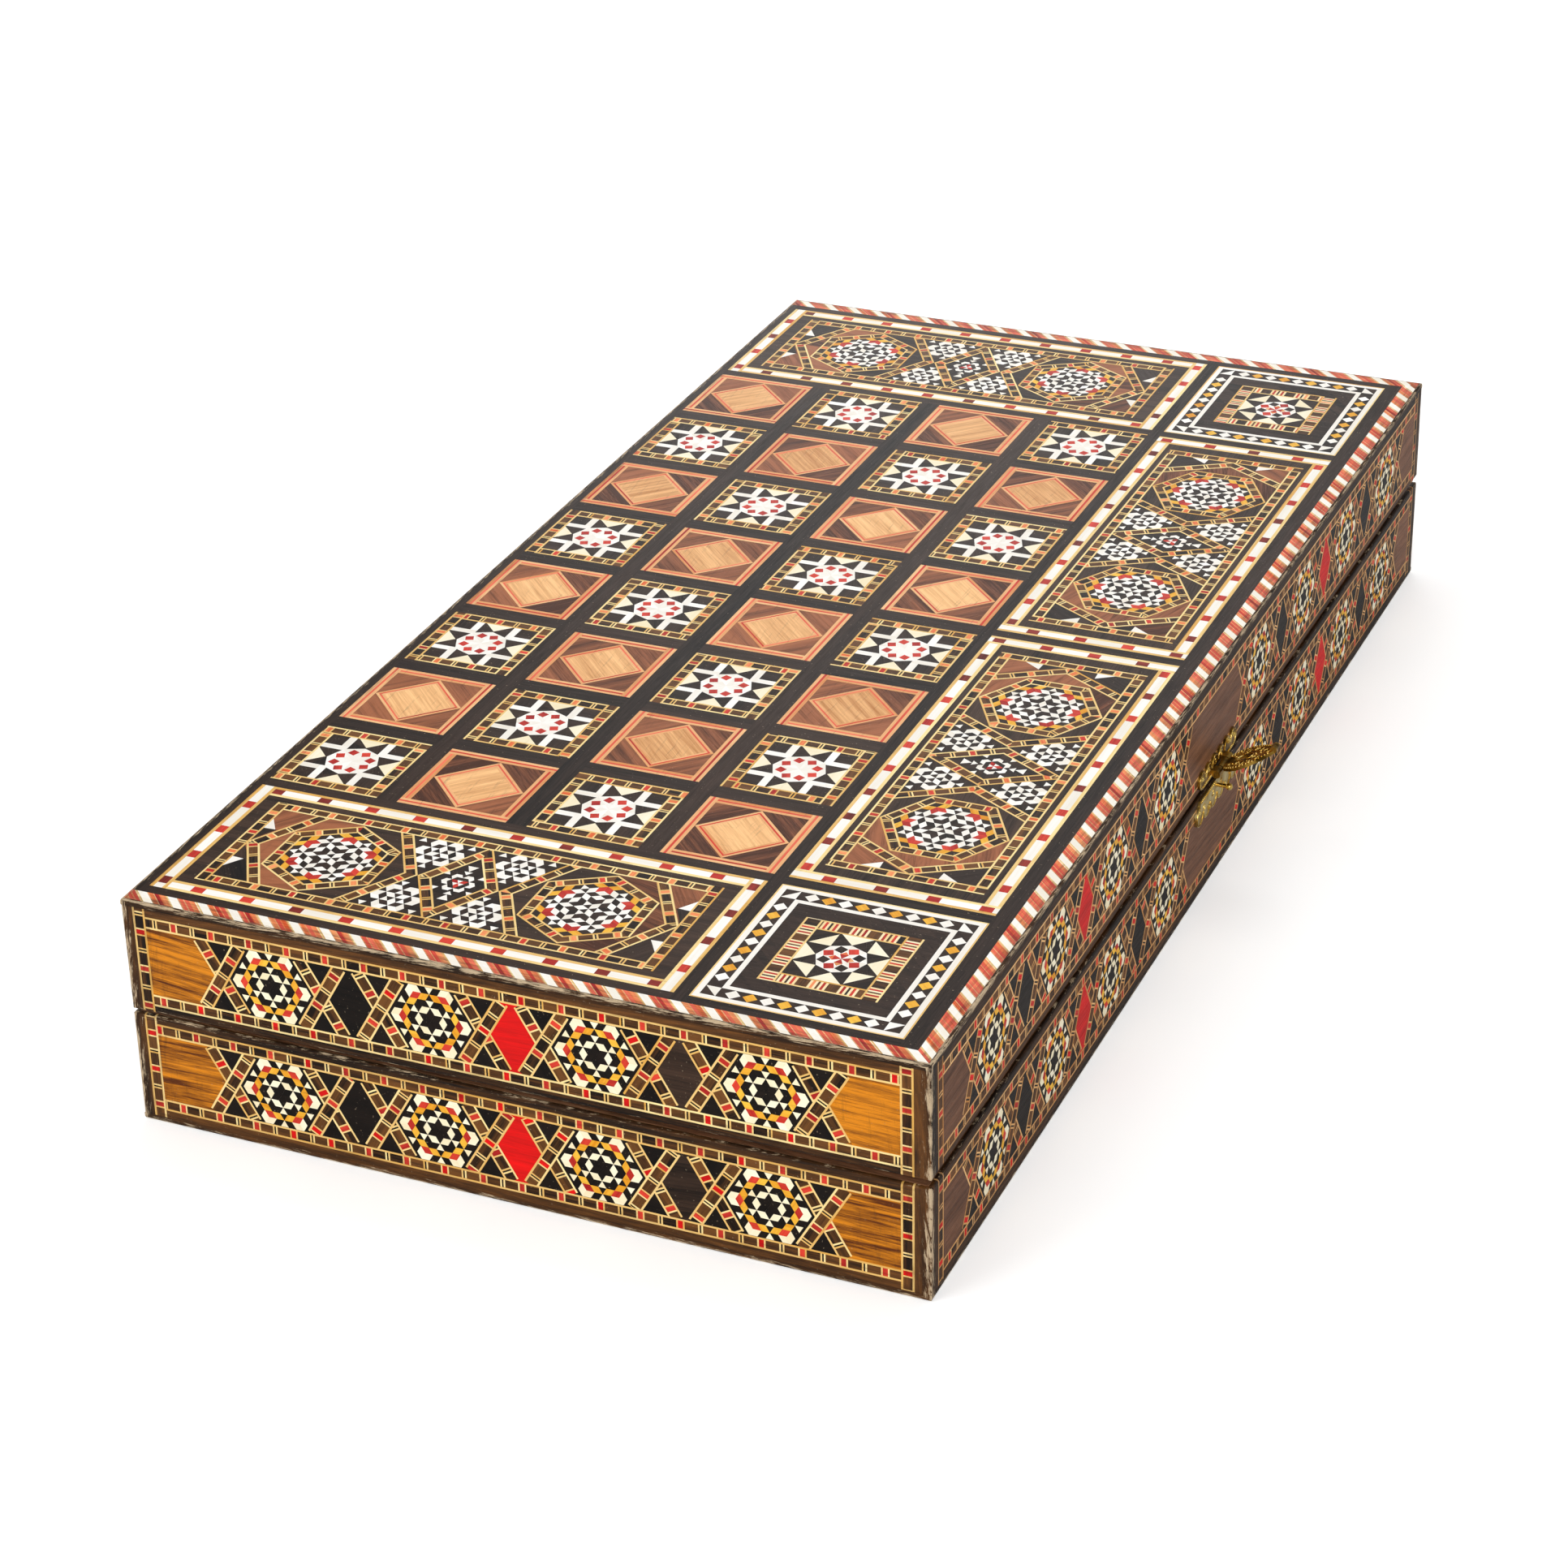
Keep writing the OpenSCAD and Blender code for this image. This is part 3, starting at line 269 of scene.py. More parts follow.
# %% The wood function
def wood(name, dark, light, fibre, figure=None, spread=0.35, rough=0.42, coat=0.0, grain=None,
         contrast=1.0, worn="#cdb593", scratched=0.0, dirt="#1d130c"):
    """A waxed wood: fibre and figure are widths in mm, and spread is how far the tones of its pieces
    differ. The grain is a direction, or else it comes from the faces. Coat is the weight of a lacquer,
    worn and dirt are the colours of the edges, and scratched is how strongly the nicks show."""
    material, tree, shader = new_material(name)
    place = add(tree, "ShaderNodeTexCoord").outputs["Object"]
    if grain:
        way = add(tree, "ShaderNodeCombineXYZ", {"X": grain[0], "Y": grain[1], "Z": grain[2]}).outputs[0]
        tone = add(tree, "ShaderNodeTexNoise", {"Vector": place, "Scale": 1 / (60 * mm)}).outputs[0]
    else:
        way = add(tree, "ShaderNodeAttribute", attribute_name="grain").outputs["Vector"]
        tone = add(tree, "ShaderNodeAttribute", attribute_name="tone").outputs["Fac"]
    # Taking away most of the place's part along the grain draws the noise out 25 times that way.
    along = add(tree, "ShaderNodeVectorMath", {0: place, 1: way}, operation="DOT_PRODUCT").outputs["Value"]
    less = add(tree, "ShaderNodeMath", {0: along, 1: -0.96}, operation="MULTIPLY").outputs[0]
    back = add(tree, "ShaderNodeVectorMath", {0: way, "Scale": less}, operation="SCALE").outputs[0]
    drawn = add(tree, "ShaderNodeVectorMath", {0: place, 1: back}, operation="ADD").outputs[0]
    if not grain:
        drawn = add(tree, "ShaderNodeVectorMath", {0: drawn, 1: tone}, operation="ADD").outputs[0]
    fibres = add(tree, "ShaderNodeTexNoise", {"Vector": drawn, "Scale": 1 / (fibre * mm), "Detail": 4.0,
                                              "Roughness": 0.75}).outputs[0]
    bands = add(tree, "ShaderNodeTexNoise", {"Vector": drawn, "Scale": 1 / ((figure or fibre * 6) * mm),
                                             "Detail": 2.0}).outputs[0]
    mixed = add(tree, "ShaderNodeMath", {0: fibres, 1: bands}, operation="ADD").outputs[0]
    shifted = add(tree, "ShaderNodeMath", {0: tone, 1: spread, 2: mixed},
                  operation="MULTIPLY_ADD").outputs[0]
    # The two noises add up to about 1 and the tone to half its spread, so the ramp is centred there.
    middle = 1 + spread / 2
    reach = 0.42 / contrast
    factor = add(tree, "ShaderNodeMapRange", {"Value": shifted, "From Min": middle - reach,
                                              "From Max": middle + reach}).outputs[0]
    wear = add(tree, "ShaderNodeGroup", node_tree=edge_wear)
    over = [(factor, light), (wear.outputs["Grime"], dirt), (wear.outputs["Worn"], worn)]
    if scratched:
        nicks = add(tree, "ShaderNodeTexNoise", {"Vector": place, "Scale": 1 / (0.55 * mm), "Detail": 2.0})
        nicks = add(tree, "ShaderNodeMapRange", {"Value": nicks.outputs[0], "From Min": 0.70,
                                                 "From Max": 0.76, "To Max": scratched}).outputs[0]
        over.insert(1, (nicks, "#a8957c"))
    # The dark colour lies below, and over it the light one, the nicks, the grime and the worn wood.
    colour = linear(dark)
    for amount, tint in over:
        colour = add(tree, "ShaderNodeMix", {0: amount, 6: colour, 7: linear(tint)},
                     data_type="RGBA").outputs[2]
    tree.links.new(colour, shader.inputs["Base Color"])
    dull = add(tree, "ShaderNodeMapRange", {"Value": fibres, "From Min": 0.3, "From Max": 0.7,
                                            "To Min": rough + 0.1, "To Max": rough - 0.06}).outputs[0]
    tree.links.new(dull, shader.inputs["Roughness"])
    relief = add(tree, "ShaderNodeBump", {"Height": fibres, "Strength": 0.25, "Distance": 0.08 * mm})
    tree.links.new(relief.outputs[0], shader.inputs["Normal"])
    # Old wax has lost its gloss, and an index of 1.3 reflects about half as much as the usual 1.45.
    shader.inputs["IOR"].default_value = 1.3
    shader.inputs["Coat Weight"].default_value = coat
    shader.inputs["Coat Roughness"].default_value = 0.22
    return material


# %% [markdown]
# The maker's stock of veneers
#
# Camel bone is planed thin and polished: nearly white, hard and with almost no grain. The dyed rods are
# lemonwood and maple boiled in dye, so the fibres still show through the red, coral, orange and amber.
# Ebony is nearly black with brown streaks, and walnut, rosewood and wenge carry the browns. The sides have
# a darker copy of the ebony: painted shade, standing in for the sheen that lightens the top's ebony and is
# missing on the sides. They also have a yellower bone and, on the long sides, a browner maple.

# %% Veneers
bony = {"fibre": 1.2, "rough": 0.35, "worn": "#cbb68f"}
ebony_like = {"fibre": 0.45, "figure": 3.0, "spread": 0.45, "contrast": 0.9}
dyed = {"fibre": 0.45, "figure": 2.0, "spread": 0.5, "contrast": 1.1}
strung = {"fibre": 0.6, "figure": 3.0, "spread": 0.6}
woods = {
    "bone": wood("polished_camel_bone", "#ece5d8", "#fefcf8", **bony, spread=0.5, dirt="#efe5cf"),
    "yellowed_bone": wood("yellowed_bone", "#f0e0b6", "#fff7dc", **bony, spread=0.5, dirt="#e6d2a4"),
    "ivory": wood("cream_bone", "#f1e2bb", "#fdf5dd", **bony, spread=0.4, dirt="#dcc99c"),
    "ebony": wood("sliced_ebony", "#0e0805", "#3e2c22", **ebony_like, scratched=0.6),
    # A darker copy of the ebony for the sides: painted shade, as the sides lack the top's sheen.
    "deep_ebony": wood("deep_stained_ebony", "#050302", "#1e140e", **ebony_like, scratched=0.5),
    "walnut": wood("dark_walnut_veneer", "#130b07", "#4a3528", 0.4, 3.0, 0.4, contrast=1.1, scratched=0.5),
    "rosewood": wood("rosewood_veneer", "#482412", "#a4623e", 0.4, 2.2, 0.6, contrast=1.4, scratched=0.4),
    "gold_walnut": wood("golden_walnut_veneer", "#5a2802", "#da840e", 0.28, 1.2, 0.2, contrast=2.1,
                        scratched=0.3),
    "brown_walnut": wood("red_brown_walnut_veneer", "#4a2c1c", "#8c5e42", 0.35, 1.8, 0.3, scratched=0.4),
    "wenge": wood("brown_stained_rod", "#180c04", "#70451c", 0.3, 1.6, 0.5, contrast=1.4, scratched=0.4),
    "maple": wood("maple_stringing", "#dba44a", "#fbe4a2", **strung, dirt="#8a6430"),
    "aged_maple": wood("aged_maple_stringing", "#b97c3a", "#ecbc7e", **strung, dirt="#6a4420"),
    "cream": wood("pale_maple_stringing", "#efcf8c", "#fdeecb", 0.6, 3.0, 0.5, dirt="#8a6430"),
    "peach": wood("lemonwood_stringing", "#d98c50", "#f3c189", 0.5, 3.0, 0.6),
    "red": wood("red_dyed_rod", "#a01213", "#e0402c", **dyed),
    "coral": wood("coral_dyed_rod", "#d2392a", "#f47a58", **dyed, dirt="#7a2c1c"),
    "scarlet": wood("scarlet_dyed_veneer", "#b40000", "#ee0402", 0.4, 2.0, 0.2, contrast=1.1),
    "maroon": wood("dark_red_dyed_rod", "#561008", "#9c2c22", 0.45, 2.0, 0.4, contrast=1.1),
    "orange": wood("orange_dyed_rod", "#dd561c", "#f69c62", **dyed),
    "amber": wood("amber_dyed_rod", "#dd8d0c", "#f9c643", 0.45, 2.0, 0.5),
    "tan": wood("olive_wood_veneer", "#be7e46", "#fec88a", 0.4, 1.6, 0.6, contrast=1.1),
}
print(len(woods), "veneers")

# %% [markdown]
# Cutting shapes
#
# A marquetry sheet is a list of pieces, and a piece is a wood, a convex outline, a tone and the angle of
# its grain. The maker saws a recess for a new piece through whatever lies there already, so the two
# helpers below split a convex outline along a line: one keeps what lies inside another outline, and one
# returns the parts that are left outside it.


# %% Splitting convex outlines
def halves(shape, a, b):
    """The parts of a convex shape to the left and to the right of the line from a to b."""
    left, right = [], []
    sides = [(b[0] - a[0]) * (p[1] - a[1]) - (b[1] - a[1]) * (p[0] - a[0]) for p in shape]
    for i, p in enumerate(shape):
        q, s, t = shape[i - 1], sides[i], sides[i - 1]
        if (s > 0) != (t > 0):
            share = t / (t - s)
            crossing = (q[0] + (p[0] - q[0]) * share, q[1] + (p[1] - q[1]) * share)
            left.append(crossing)
            right.append(crossing)
        (left if s > 0 else right).append(p)
    return [[p for i, p in enumerate(part) if math.dist(p, part[i - 1]) > 1e-4] for part in (left, right)]


def area(shape):
    """The area inside an outline that runs anticlockwise."""
    return sum(q[0] * p[1] - p[0] * q[1] for q, p in zip(shape[-1:] + shape[:-1], shape)) / 2


least_area = 0.004  # in square mm


def within(shape, outline):
    """The part of a convex shape inside a convex outline, or nothing."""
    for a, b in zip(outline, outline[1:] + outline[:1]):
        shape = halves(shape, a, b)[0]
        if len(shape) < 3 or area(shape) < least_area:
            return []
    return shape


def without(shape, outline):
    """The convex parts of a convex shape outside a convex outline."""
    if not within(shape, outline):
        return [shape]
    parts = []
    for a, b in zip(outline, outline[1:] + outline[:1]):
        shape, rest = halves(shape, a, b)
        if len(rest) > 2 and area(rest) > least_area:
            parts.append(rest)
    return parts


# %% Pieces and sheets
dice = random.Random(7)


def piece(kind, shape, grain=None):
    """A piece of one wood, with its own tone, and its grain along its longest side unless told."""
    shape = list(shape)
    if area(shape) <= 0:
        shape.reverse()
    if grain is None:
        sides = [(q[0] - p[0], q[1] - p[1]) for p, q in zip(shape, shape[1:] + shape[:1])]
        longest = max(sides, key=lambda s: math.hypot(*s))
        grain = math.atan2(longest[1], longest[0])
    return (kind, shape, dice.random(), grain)


def cut(sheet, *outlines):
    """The sheet with recesses sawn out of it."""
    for outline in outlines:
        sheet = [(kind, part, tone, grain) for kind, shape, tone, grain in sheet
                 for part in without(shape, outline)]
    return sheet


def trim(sheet, outline):
    """Only what lies inside the outline."""
    kept = [(kind, within(shape, outline), tone, grain) for kind, shape, tone, grain in sheet]
    return [p for p in kept if p[1]]


def inlay(sheet, pieces, outline):
    """The sheet with pieces laid into a recess of that outline."""
    return cut(sheet, outline) + trim(pieces, outline)


def lay_all(sheet, pieces):
    """The sheet with each piece let in on its own."""
    for p in pieces:
        sheet = inlay(sheet, [p], p[1])
    return sheet


def box(x0, y0, x1, y1):
    """A rectangle's corners."""
    return [(x0, y0), (x1, y0), (x1, y1), (x0, y1)]


def regular(centre, radius, sides, turn=0.0):
    """A regular polygon's corners, the first at the angle turn in degrees."""
    angles = [math.radians(turn + 360 * k / sides) for k in range(sides)]
    return [(centre[0] + radius * math.cos(a), centre[1] + radius * math.sin(a)) for a in angles]


def moved(sheet, shift=(0, 0), turn=0.0):
    """A copy of the sheet turned by degrees and then shifted, with slightly other tones."""
    angle = math.radians(turn)
    c, s = math.cos(angle), math.sin(angle)
    return [(kind, [(shift[0] + x * c - y * s, shift[1] + x * s + y * c) for x, y in shape],
             (tone + dice.random() * 0.3) % 1.0, grain + angle) for kind, shape, tone, grain in sheet]


# %% [markdown]
# Stringing and chains
#
# Lines and borders come from flat bundles: strips of wood glued side by side and sliced. The commonest
# here is the chain: brown blocks with pale, black, red and orange slips between them, held between two
# yellow lines. A band is drawn from a start to an end point from its cross-section and its sequence of
# slips, so one function makes chains, bone borders and the three-coloured stringing alike. The rope
# banding of the outer edges lays its slips by the same count.


# %% Bands
def heading(start, end):
    """The length of a line and its direction."""
    length = math.dist(start, end)
    return length, ((end[0] - start[0]) / length, (end[1] - start[1]) / length)


def bar(start, end, low, high):
    """A strip beside the line from start to end, between two distances to its left."""
    e = heading(start, end)[1]
    return [(p[0] - e[1] * d, p[1] + e[0] * d)
            for p, d in ((start, low), (end, low), (end, high), (start, high))]


def run_of(slips, at, stop):
    """Slips of a sequence from one distance to another, each (woods, where it starts, where it ends)."""
    for kinds, long in itertools.cycle(slips):
        if at >= stop:
            return
        yield kinds, at, at + long
        at += long


def band(start, end, width, line, line_kind, slips, phase):
    """A band along a line: two edge lines, and between them a sequence of slips, each (woods, length)."""
    length, e = heading(start, end)
    half = width / 2
    pieces = [piece(line_kind, bar(start, end, -half, line - half)),
              piece(line_kind, bar(start, end, half - line, half))]
    for kinds, low, high in run_of(slips, -(phase % sum(s[1] for s in slips)), length):
        low, high = max(low, 0), min(high, length)
        if high - low > 0.05:
            ends = [(start[0] + e[0] * d, start[1] + e[1] * d) for d in (low, high)]
            pieces.append(piece(dice.choice(kinds), bar(*ends, line - half, half - line)))
    return pieces


chain_slips = [(["wenge"], 3.3), (["maple"], 0.42), (["ebony"], 0.4), (["maple"], 0.42),
               (["wenge"], 3.3), (["maple"], 0.4), (["red", "orange", "orange"], 1.25), (["maple"], 0.4)]
chain_w = 3.1


def chain(start, end, width=chain_w, line=0.5, slips=chain_slips):
    """A chain band with its sequence starting anywhere."""
    return band(start, end, width, line, "maple", slips, dice.uniform(0, 9))


def mitred_bands(outer, inner, width, make):
    """Bands along the sides of a polygon, between its outer and inner outline, mitred at its corners."""
    sheet = []
    for k in range(len(outer)):
        after = (k + 1) % len(outer)
        axis = bar(outer[k], outer[after], width / 2, width / 2)[:2]
        sheet += trim(make(*axis), [outer[k], outer[after], inner[after], inner[k]])
    return sheet


def framed(x0, y0, x1, y1, width, make):
    """Four bands inside a rectangle: the upright ones run full height and the others butt."""
    h = width / 2
    return (make((x0 + h, y0), (x0 + h, y1)) + make((x1 - h, y1), (x1 - h, y0))
            + make((x1 - width, y0 + h), (x0 + width, y0 + h))
            + make((x0 + width, y1 - h), (x1 - width, y1 - h)))


print("one chain unit is", round(sum(s[1] for s in chain_slips), 2), "mm")

# %% [markdown]
# Mosaic hexagons
#
# The hexagonal medallions are built from sixty-degree rhombi on a triangular lattice, like a bundle of
# rhombic rods. Only one sixth of the pattern is written, with the hexagon's corner along +x. A point is
# (x, row): x in lattice units, and rows of the lattice above the corner's axis. The sixth is turned five
# times, and pieces beside the axis are mirrored as well.

# %% The rhombus mosaics
rise = math.sqrt(3) / 2


def on_axis(x):
    """The unit rhombus that lies along the corner's axis, from x to x + 1, as (x, row) corners."""
    return [(x, 0), (x + 0.5, -1), (x + 1, 0), (x + 0.5, 1)]


def mosaic(unit, heart, once, twice):
    """All six sixths of a pattern: the heart alternates, and the pieces in twice are mirrored as well."""
    mirrored = [(kind, [(x, -row) for x, row in shape]) for kind, shape in twice]
    pieces = []
    for k in range(6):
        sixth = heart[k % len(heart)] + once + twice + mirrored
        turned = [piece(kind, [(x, row * rise) for x, row in shape]) for kind, shape in sixth]
        pieces += moved(turned, turn=60 * k)
    return [(kind, [(x * unit, y * unit) for x, y in shape], tone, grain)
            for kind, shape, tone, grain in pieces]


split_rhombus = [("ebony", [(0, 0), (1, 0), (0.5, 1)]), ("bone", [(1, 0), (1.5, 1), (0.5, 1)])]
whole_rhombus = [(0, 0), (1, 0), (1.5, 1), (0.5, 1)]
bone_star = [split_rhombus, [("bone", whole_rhombus)]]

border_once = [("bone", on_axis(2)), ("bone", on_axis(3)), ("ebony", on_axis(5)),
               ("bone", [(1.5, 1), (2.5, 1), (3, 2), (2, 2)]),
               ("bone", [(4, 2), (4.5, 3), (3.5, 3)]),
               ("ebony", [(3, 2), (4, 2), (3.5, 3)])]
border_twice = [("ebony", [(1, 0), (2, 0), (2.5, 1), (1.5, 1)]),
                ("ebony", [(3, 0), (3.5, 1), (3, 2), (2.5, 1)]),
                ("red", [(4, 0), (5, 0), (4.5, 1), (3.5, 1)]),
                ("amber", [(5, 0), (5.5, 1), (5, 2), (4.5, 1)]),
                ("bone", [(3.5, 1), (4.5, 1), (4, 2), (3, 2)]),
                ("ebony", [(4.5, 1), (5, 2), (4.5, 3), (4, 2)])]

side_once = [("bone", on_axis(1)), ("red", on_axis(3)),
             ("bone", [(1.5, 1), (2.5, 1), (2, 2)]),
             ("ebony", [(2.5, 1), (3, 2), (2, 2)]),
             ("bone", [(3, 2), (4, 2), (3.5, 3)])]
side_twice = [("ebony", [(2, 0), (3, 0), (2.5, 1), (1.5, 1)]),
              ("amber", [(3, 0), (3.5, 1), (3, 2), (2.5, 1)]),
              ("bone", [(4, 0), (5, 0), (4.5, 1), (3.5, 1)]),
              ("ebony", [(3.5, 1), (4.5, 1), (4, 2), (3, 2)])]

flower_once = [("ebony", on_axis(1)), ("ebony", [(1.5, 1), (2.5, 1), (2, 2)])]
flower_twice = [("bone", [(2, 0), (3, 0), (2.5, 1), (1.5, 1)])]

rose_heart = [[("red", whole_rhombus)],
              [("bone", [(0, 0), (1, 0), (0.5, 1)]), ("ebony", [(1, 0), (1.5, 1), (0.5, 1)])]]

medallion_r, medallion_frame_w = 16.4, 3.0
side_low_corner, side_high_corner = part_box("base_side_medallions")
side_medallion_r = (side_high_corner.z - side_low_corner.z) / mm / 2 / rise


def border_medallion():
    """A hexagon in a chain frame, with a corner along +x."""
    inner_r = medallion_r - medallion_frame_w / rise
    sheet = mosaic(inner_r / 6, bone_star, border_once, border_twice)
    outer, inner = regular((0, 0), medallion_r, 6), regular((0, 0), inner_r, 6)
    return sheet + mitred_bands(outer, inner, medallion_frame_w,
                                lambda a, b: chain(a, b, medallion_frame_w))


def side_medallion():
    """A hexagon of mosaic alone, with a corner along +x."""
    return mosaic(side_medallion_r / 5, [[("ebony", whole_rhombus)]], side_once, side_twice)


print("pieces in a border medallion:", len(border_medallion()), "and in a side one:", len(side_medallion()))

# %% [markdown]
# The chess squares
#
# Light and dark squares alternate as two designs. One is a star: bone bars, ivory wedges and ebony arms
# round a bone octagon with eight red squares, in a chain frame. The other is a diamond of olive wood in
# three-coloured stringing, with rosewood corners.

# %% Star and diamond squares
squares_low, squares_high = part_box("base_star_squares")
square_w = 29.2
square_pitch = ((squares_high.x - squares_low.x) / mm - square_w) / 3
columns, rows = 4, 8
corners = [(1, 1), (-1, 1), (-1, -1), (1, -1)]


def quarter_turns(pieces):
    """The pieces and their three copies turned by 90 degrees a step."""
    return [p for k in range(4) for p in moved(pieces, turn=90 * k)]


def wedge_down(top, reach):
    """A right-angled wedge whose long side lies at the top and whose point is below it."""
    return [(-reach, top), (0, top - reach), (reach, top)]


def bone_octagon(octagon):
    """Eight bone triangles that meet in the middle."""
    return [piece("bone", [octagon[k - 1], octagon[k], (0, 0)]) for k in range(8)]


def octagon_square(k, distance, reach):
    """A little square that stands on its corner in one of the octagon's eight directions."""
    angle = 22.5 + 45 * k
    return regular(regular((0, 0), distance, 1, angle)[0], reach, 4, angle)


def star_square():
    """A chess square with an eight-pointed star."""
    half = square_w / 2
    frame_w, block, bone_bar, octagon_r, red_at, red_r = 3.45, 4.8, 2.05, 6.95, 4.45, 1.5
    field = half - frame_w
    near = field - block - bone_bar
    sheet = [piece("ebony", box(-field, -field, field, field), 0.4)]
    corner = [piece("bone", box(near, near, field - block, field)),
              piece("bone", box(field - block, near, field, near + bone_bar)),
              piece("ebony", box(field - block, near + bone_bar, field, field)),
              piece("ivory", wedge_down(field, 3.8))]
    sheet = lay_all(sheet, quarter_turns(corner))
    octagon = regular((0, 0), octagon_r, 8)
    reds = [octagon_square(k, red_at, red_r) for k in range(8)]
    heart = lay_all(bone_octagon(octagon), [piece("red", red) for red in reds])
    sheet = inlay(sheet, heart, octagon)
    return sheet + framed(-half, -half, half, half, frame_w, lambda a, b: chain(a, b, frame_w, 0.56))


def stringing(width, line):
    """A maker of three-coloured bands: two pale lines with one long red or coral slip between them."""
    whole = 200
    return lambda a, b: band(a, b, width, line, "peach",
                             [([dice.choice(["red", "coral", "coral"])], whole)], 0)


def diamond_square():
    """A chess square with a diamond of olive wood."""
    half, frame_w, string_w = square_w / 2, 2.5, 1.8
    field = half - frame_w
    sheet = [piece("rosewood", box(-field, -field, field, field), dice.uniform(0, 3))]
    sheet = lay_all(sheet, [piece("rosewood", [(x * field, y * field), (0, y * field), (x * field, 0)])
                            for x, y in corners])
    tips = regular((0, 0), field, 4)
    core = regular((0, 0), field - string_w * math.sqrt(2), 4)
    sheet = inlay(sheet, [piece("tan", core, math.radians(-45))], tips)
    sheet += mitred_bands(tips, core, string_w, stringing(string_w, 0.66))
    return sheet + framed(-half, -half, half, half, frame_w, stringing(frame_w, 0.92))


def squares(parity, make):
    """Every square of one design, on the board's grid."""
    sheet = []
    for i, j in itertools.product(range(columns), range(rows)):
        if (i + j) % 2 == parity:
            centre = (squares_low.x / mm + square_w / 2 + i * square_pitch,
                      squares_low.y / mm + square_w / 2 + j * square_pitch)
            sheet += moved(make(), centre, 90 * dice.randrange(4))
    return sheet


print("pieces in a star square:", len(star_square()), "and in a diamond one:", len(diamond_square()))

# %% [markdown]
# The border panels
#
# Each end of the board has a long panel: a bone line with red blocks, a plain walnut line, a chain frame,
# and a field of walnut and rosewood. Two chains cross twice in its middle and make a rhombus, a V of
# chain stands at each end, and black and white flowers fill the triangles above and below the crossings.
# The panels beside the board are the same design turned by a right angle.

# %% Border panels
end_panel_w, beside_panel_w = 52.55, 50.7
medallion_offset = 33.3
crossing = 10.5
bone_line_w = 4.2
bone_line_slips = [(["bone"], 9.7), (["red", "red", "maroon"], 3.2)]


def bone_line(a, b):
    """A bone line with red blocks between two yellow lines, alike at both ends."""
    unit = sum(s[1] for s in bone_line_slips)
    ahead = math.dist(a, b) / 2 + bone_line_slips[0][1] / 2
    return band(a, b, bone_line_w, 0.95, "maple", bone_line_slips, -ahead % unit)


def ring(sheet, x, y, width, make):
    """The sheet with four bands laid in, whose outer edges are at +-x and +-y."""
    sheet = cut(sheet, box(-x, -y, width - x, y), box(x - width, -y, x, y),
                box(width - x, -y, x - width, width - y), box(width - x, y - width, x - width, y))
    return sheet + framed(-x, -y, x, y, width, make)


def cluster(x, y, sx, sy):
    """A black and white flower in the triangle that stands on the crossing (x, 0) and widens to y."""
    slope = y / math.sqrt(3)
    wedge = piece("ebony", [(sx * x, 0), (sx * (x + slope), sy * y), (sx * (x - slope), sy * y)], 0.3)
    unit = y / (9 * rise)
    flower = mosaic(unit, bone_star, flower_once, flower_twice)
    for left, row in ((-3.5, 2), (2.5, 2), (-1, -4)):
        foot = row * rise
        flower.append(piece("bone", [(left * unit, foot * unit), ((left + 1) * unit, foot * unit),
                                     ((left + 0.5) * unit, (foot + rise) * unit)]))
    shifted = [piece(kind, [(px + sx * x, sy * (py + y * 2 / 3)) for px, py in shape], grain)
               for kind, shape, _, grain in flower]
    return [wedge] + trim(shifted, wedge[1])


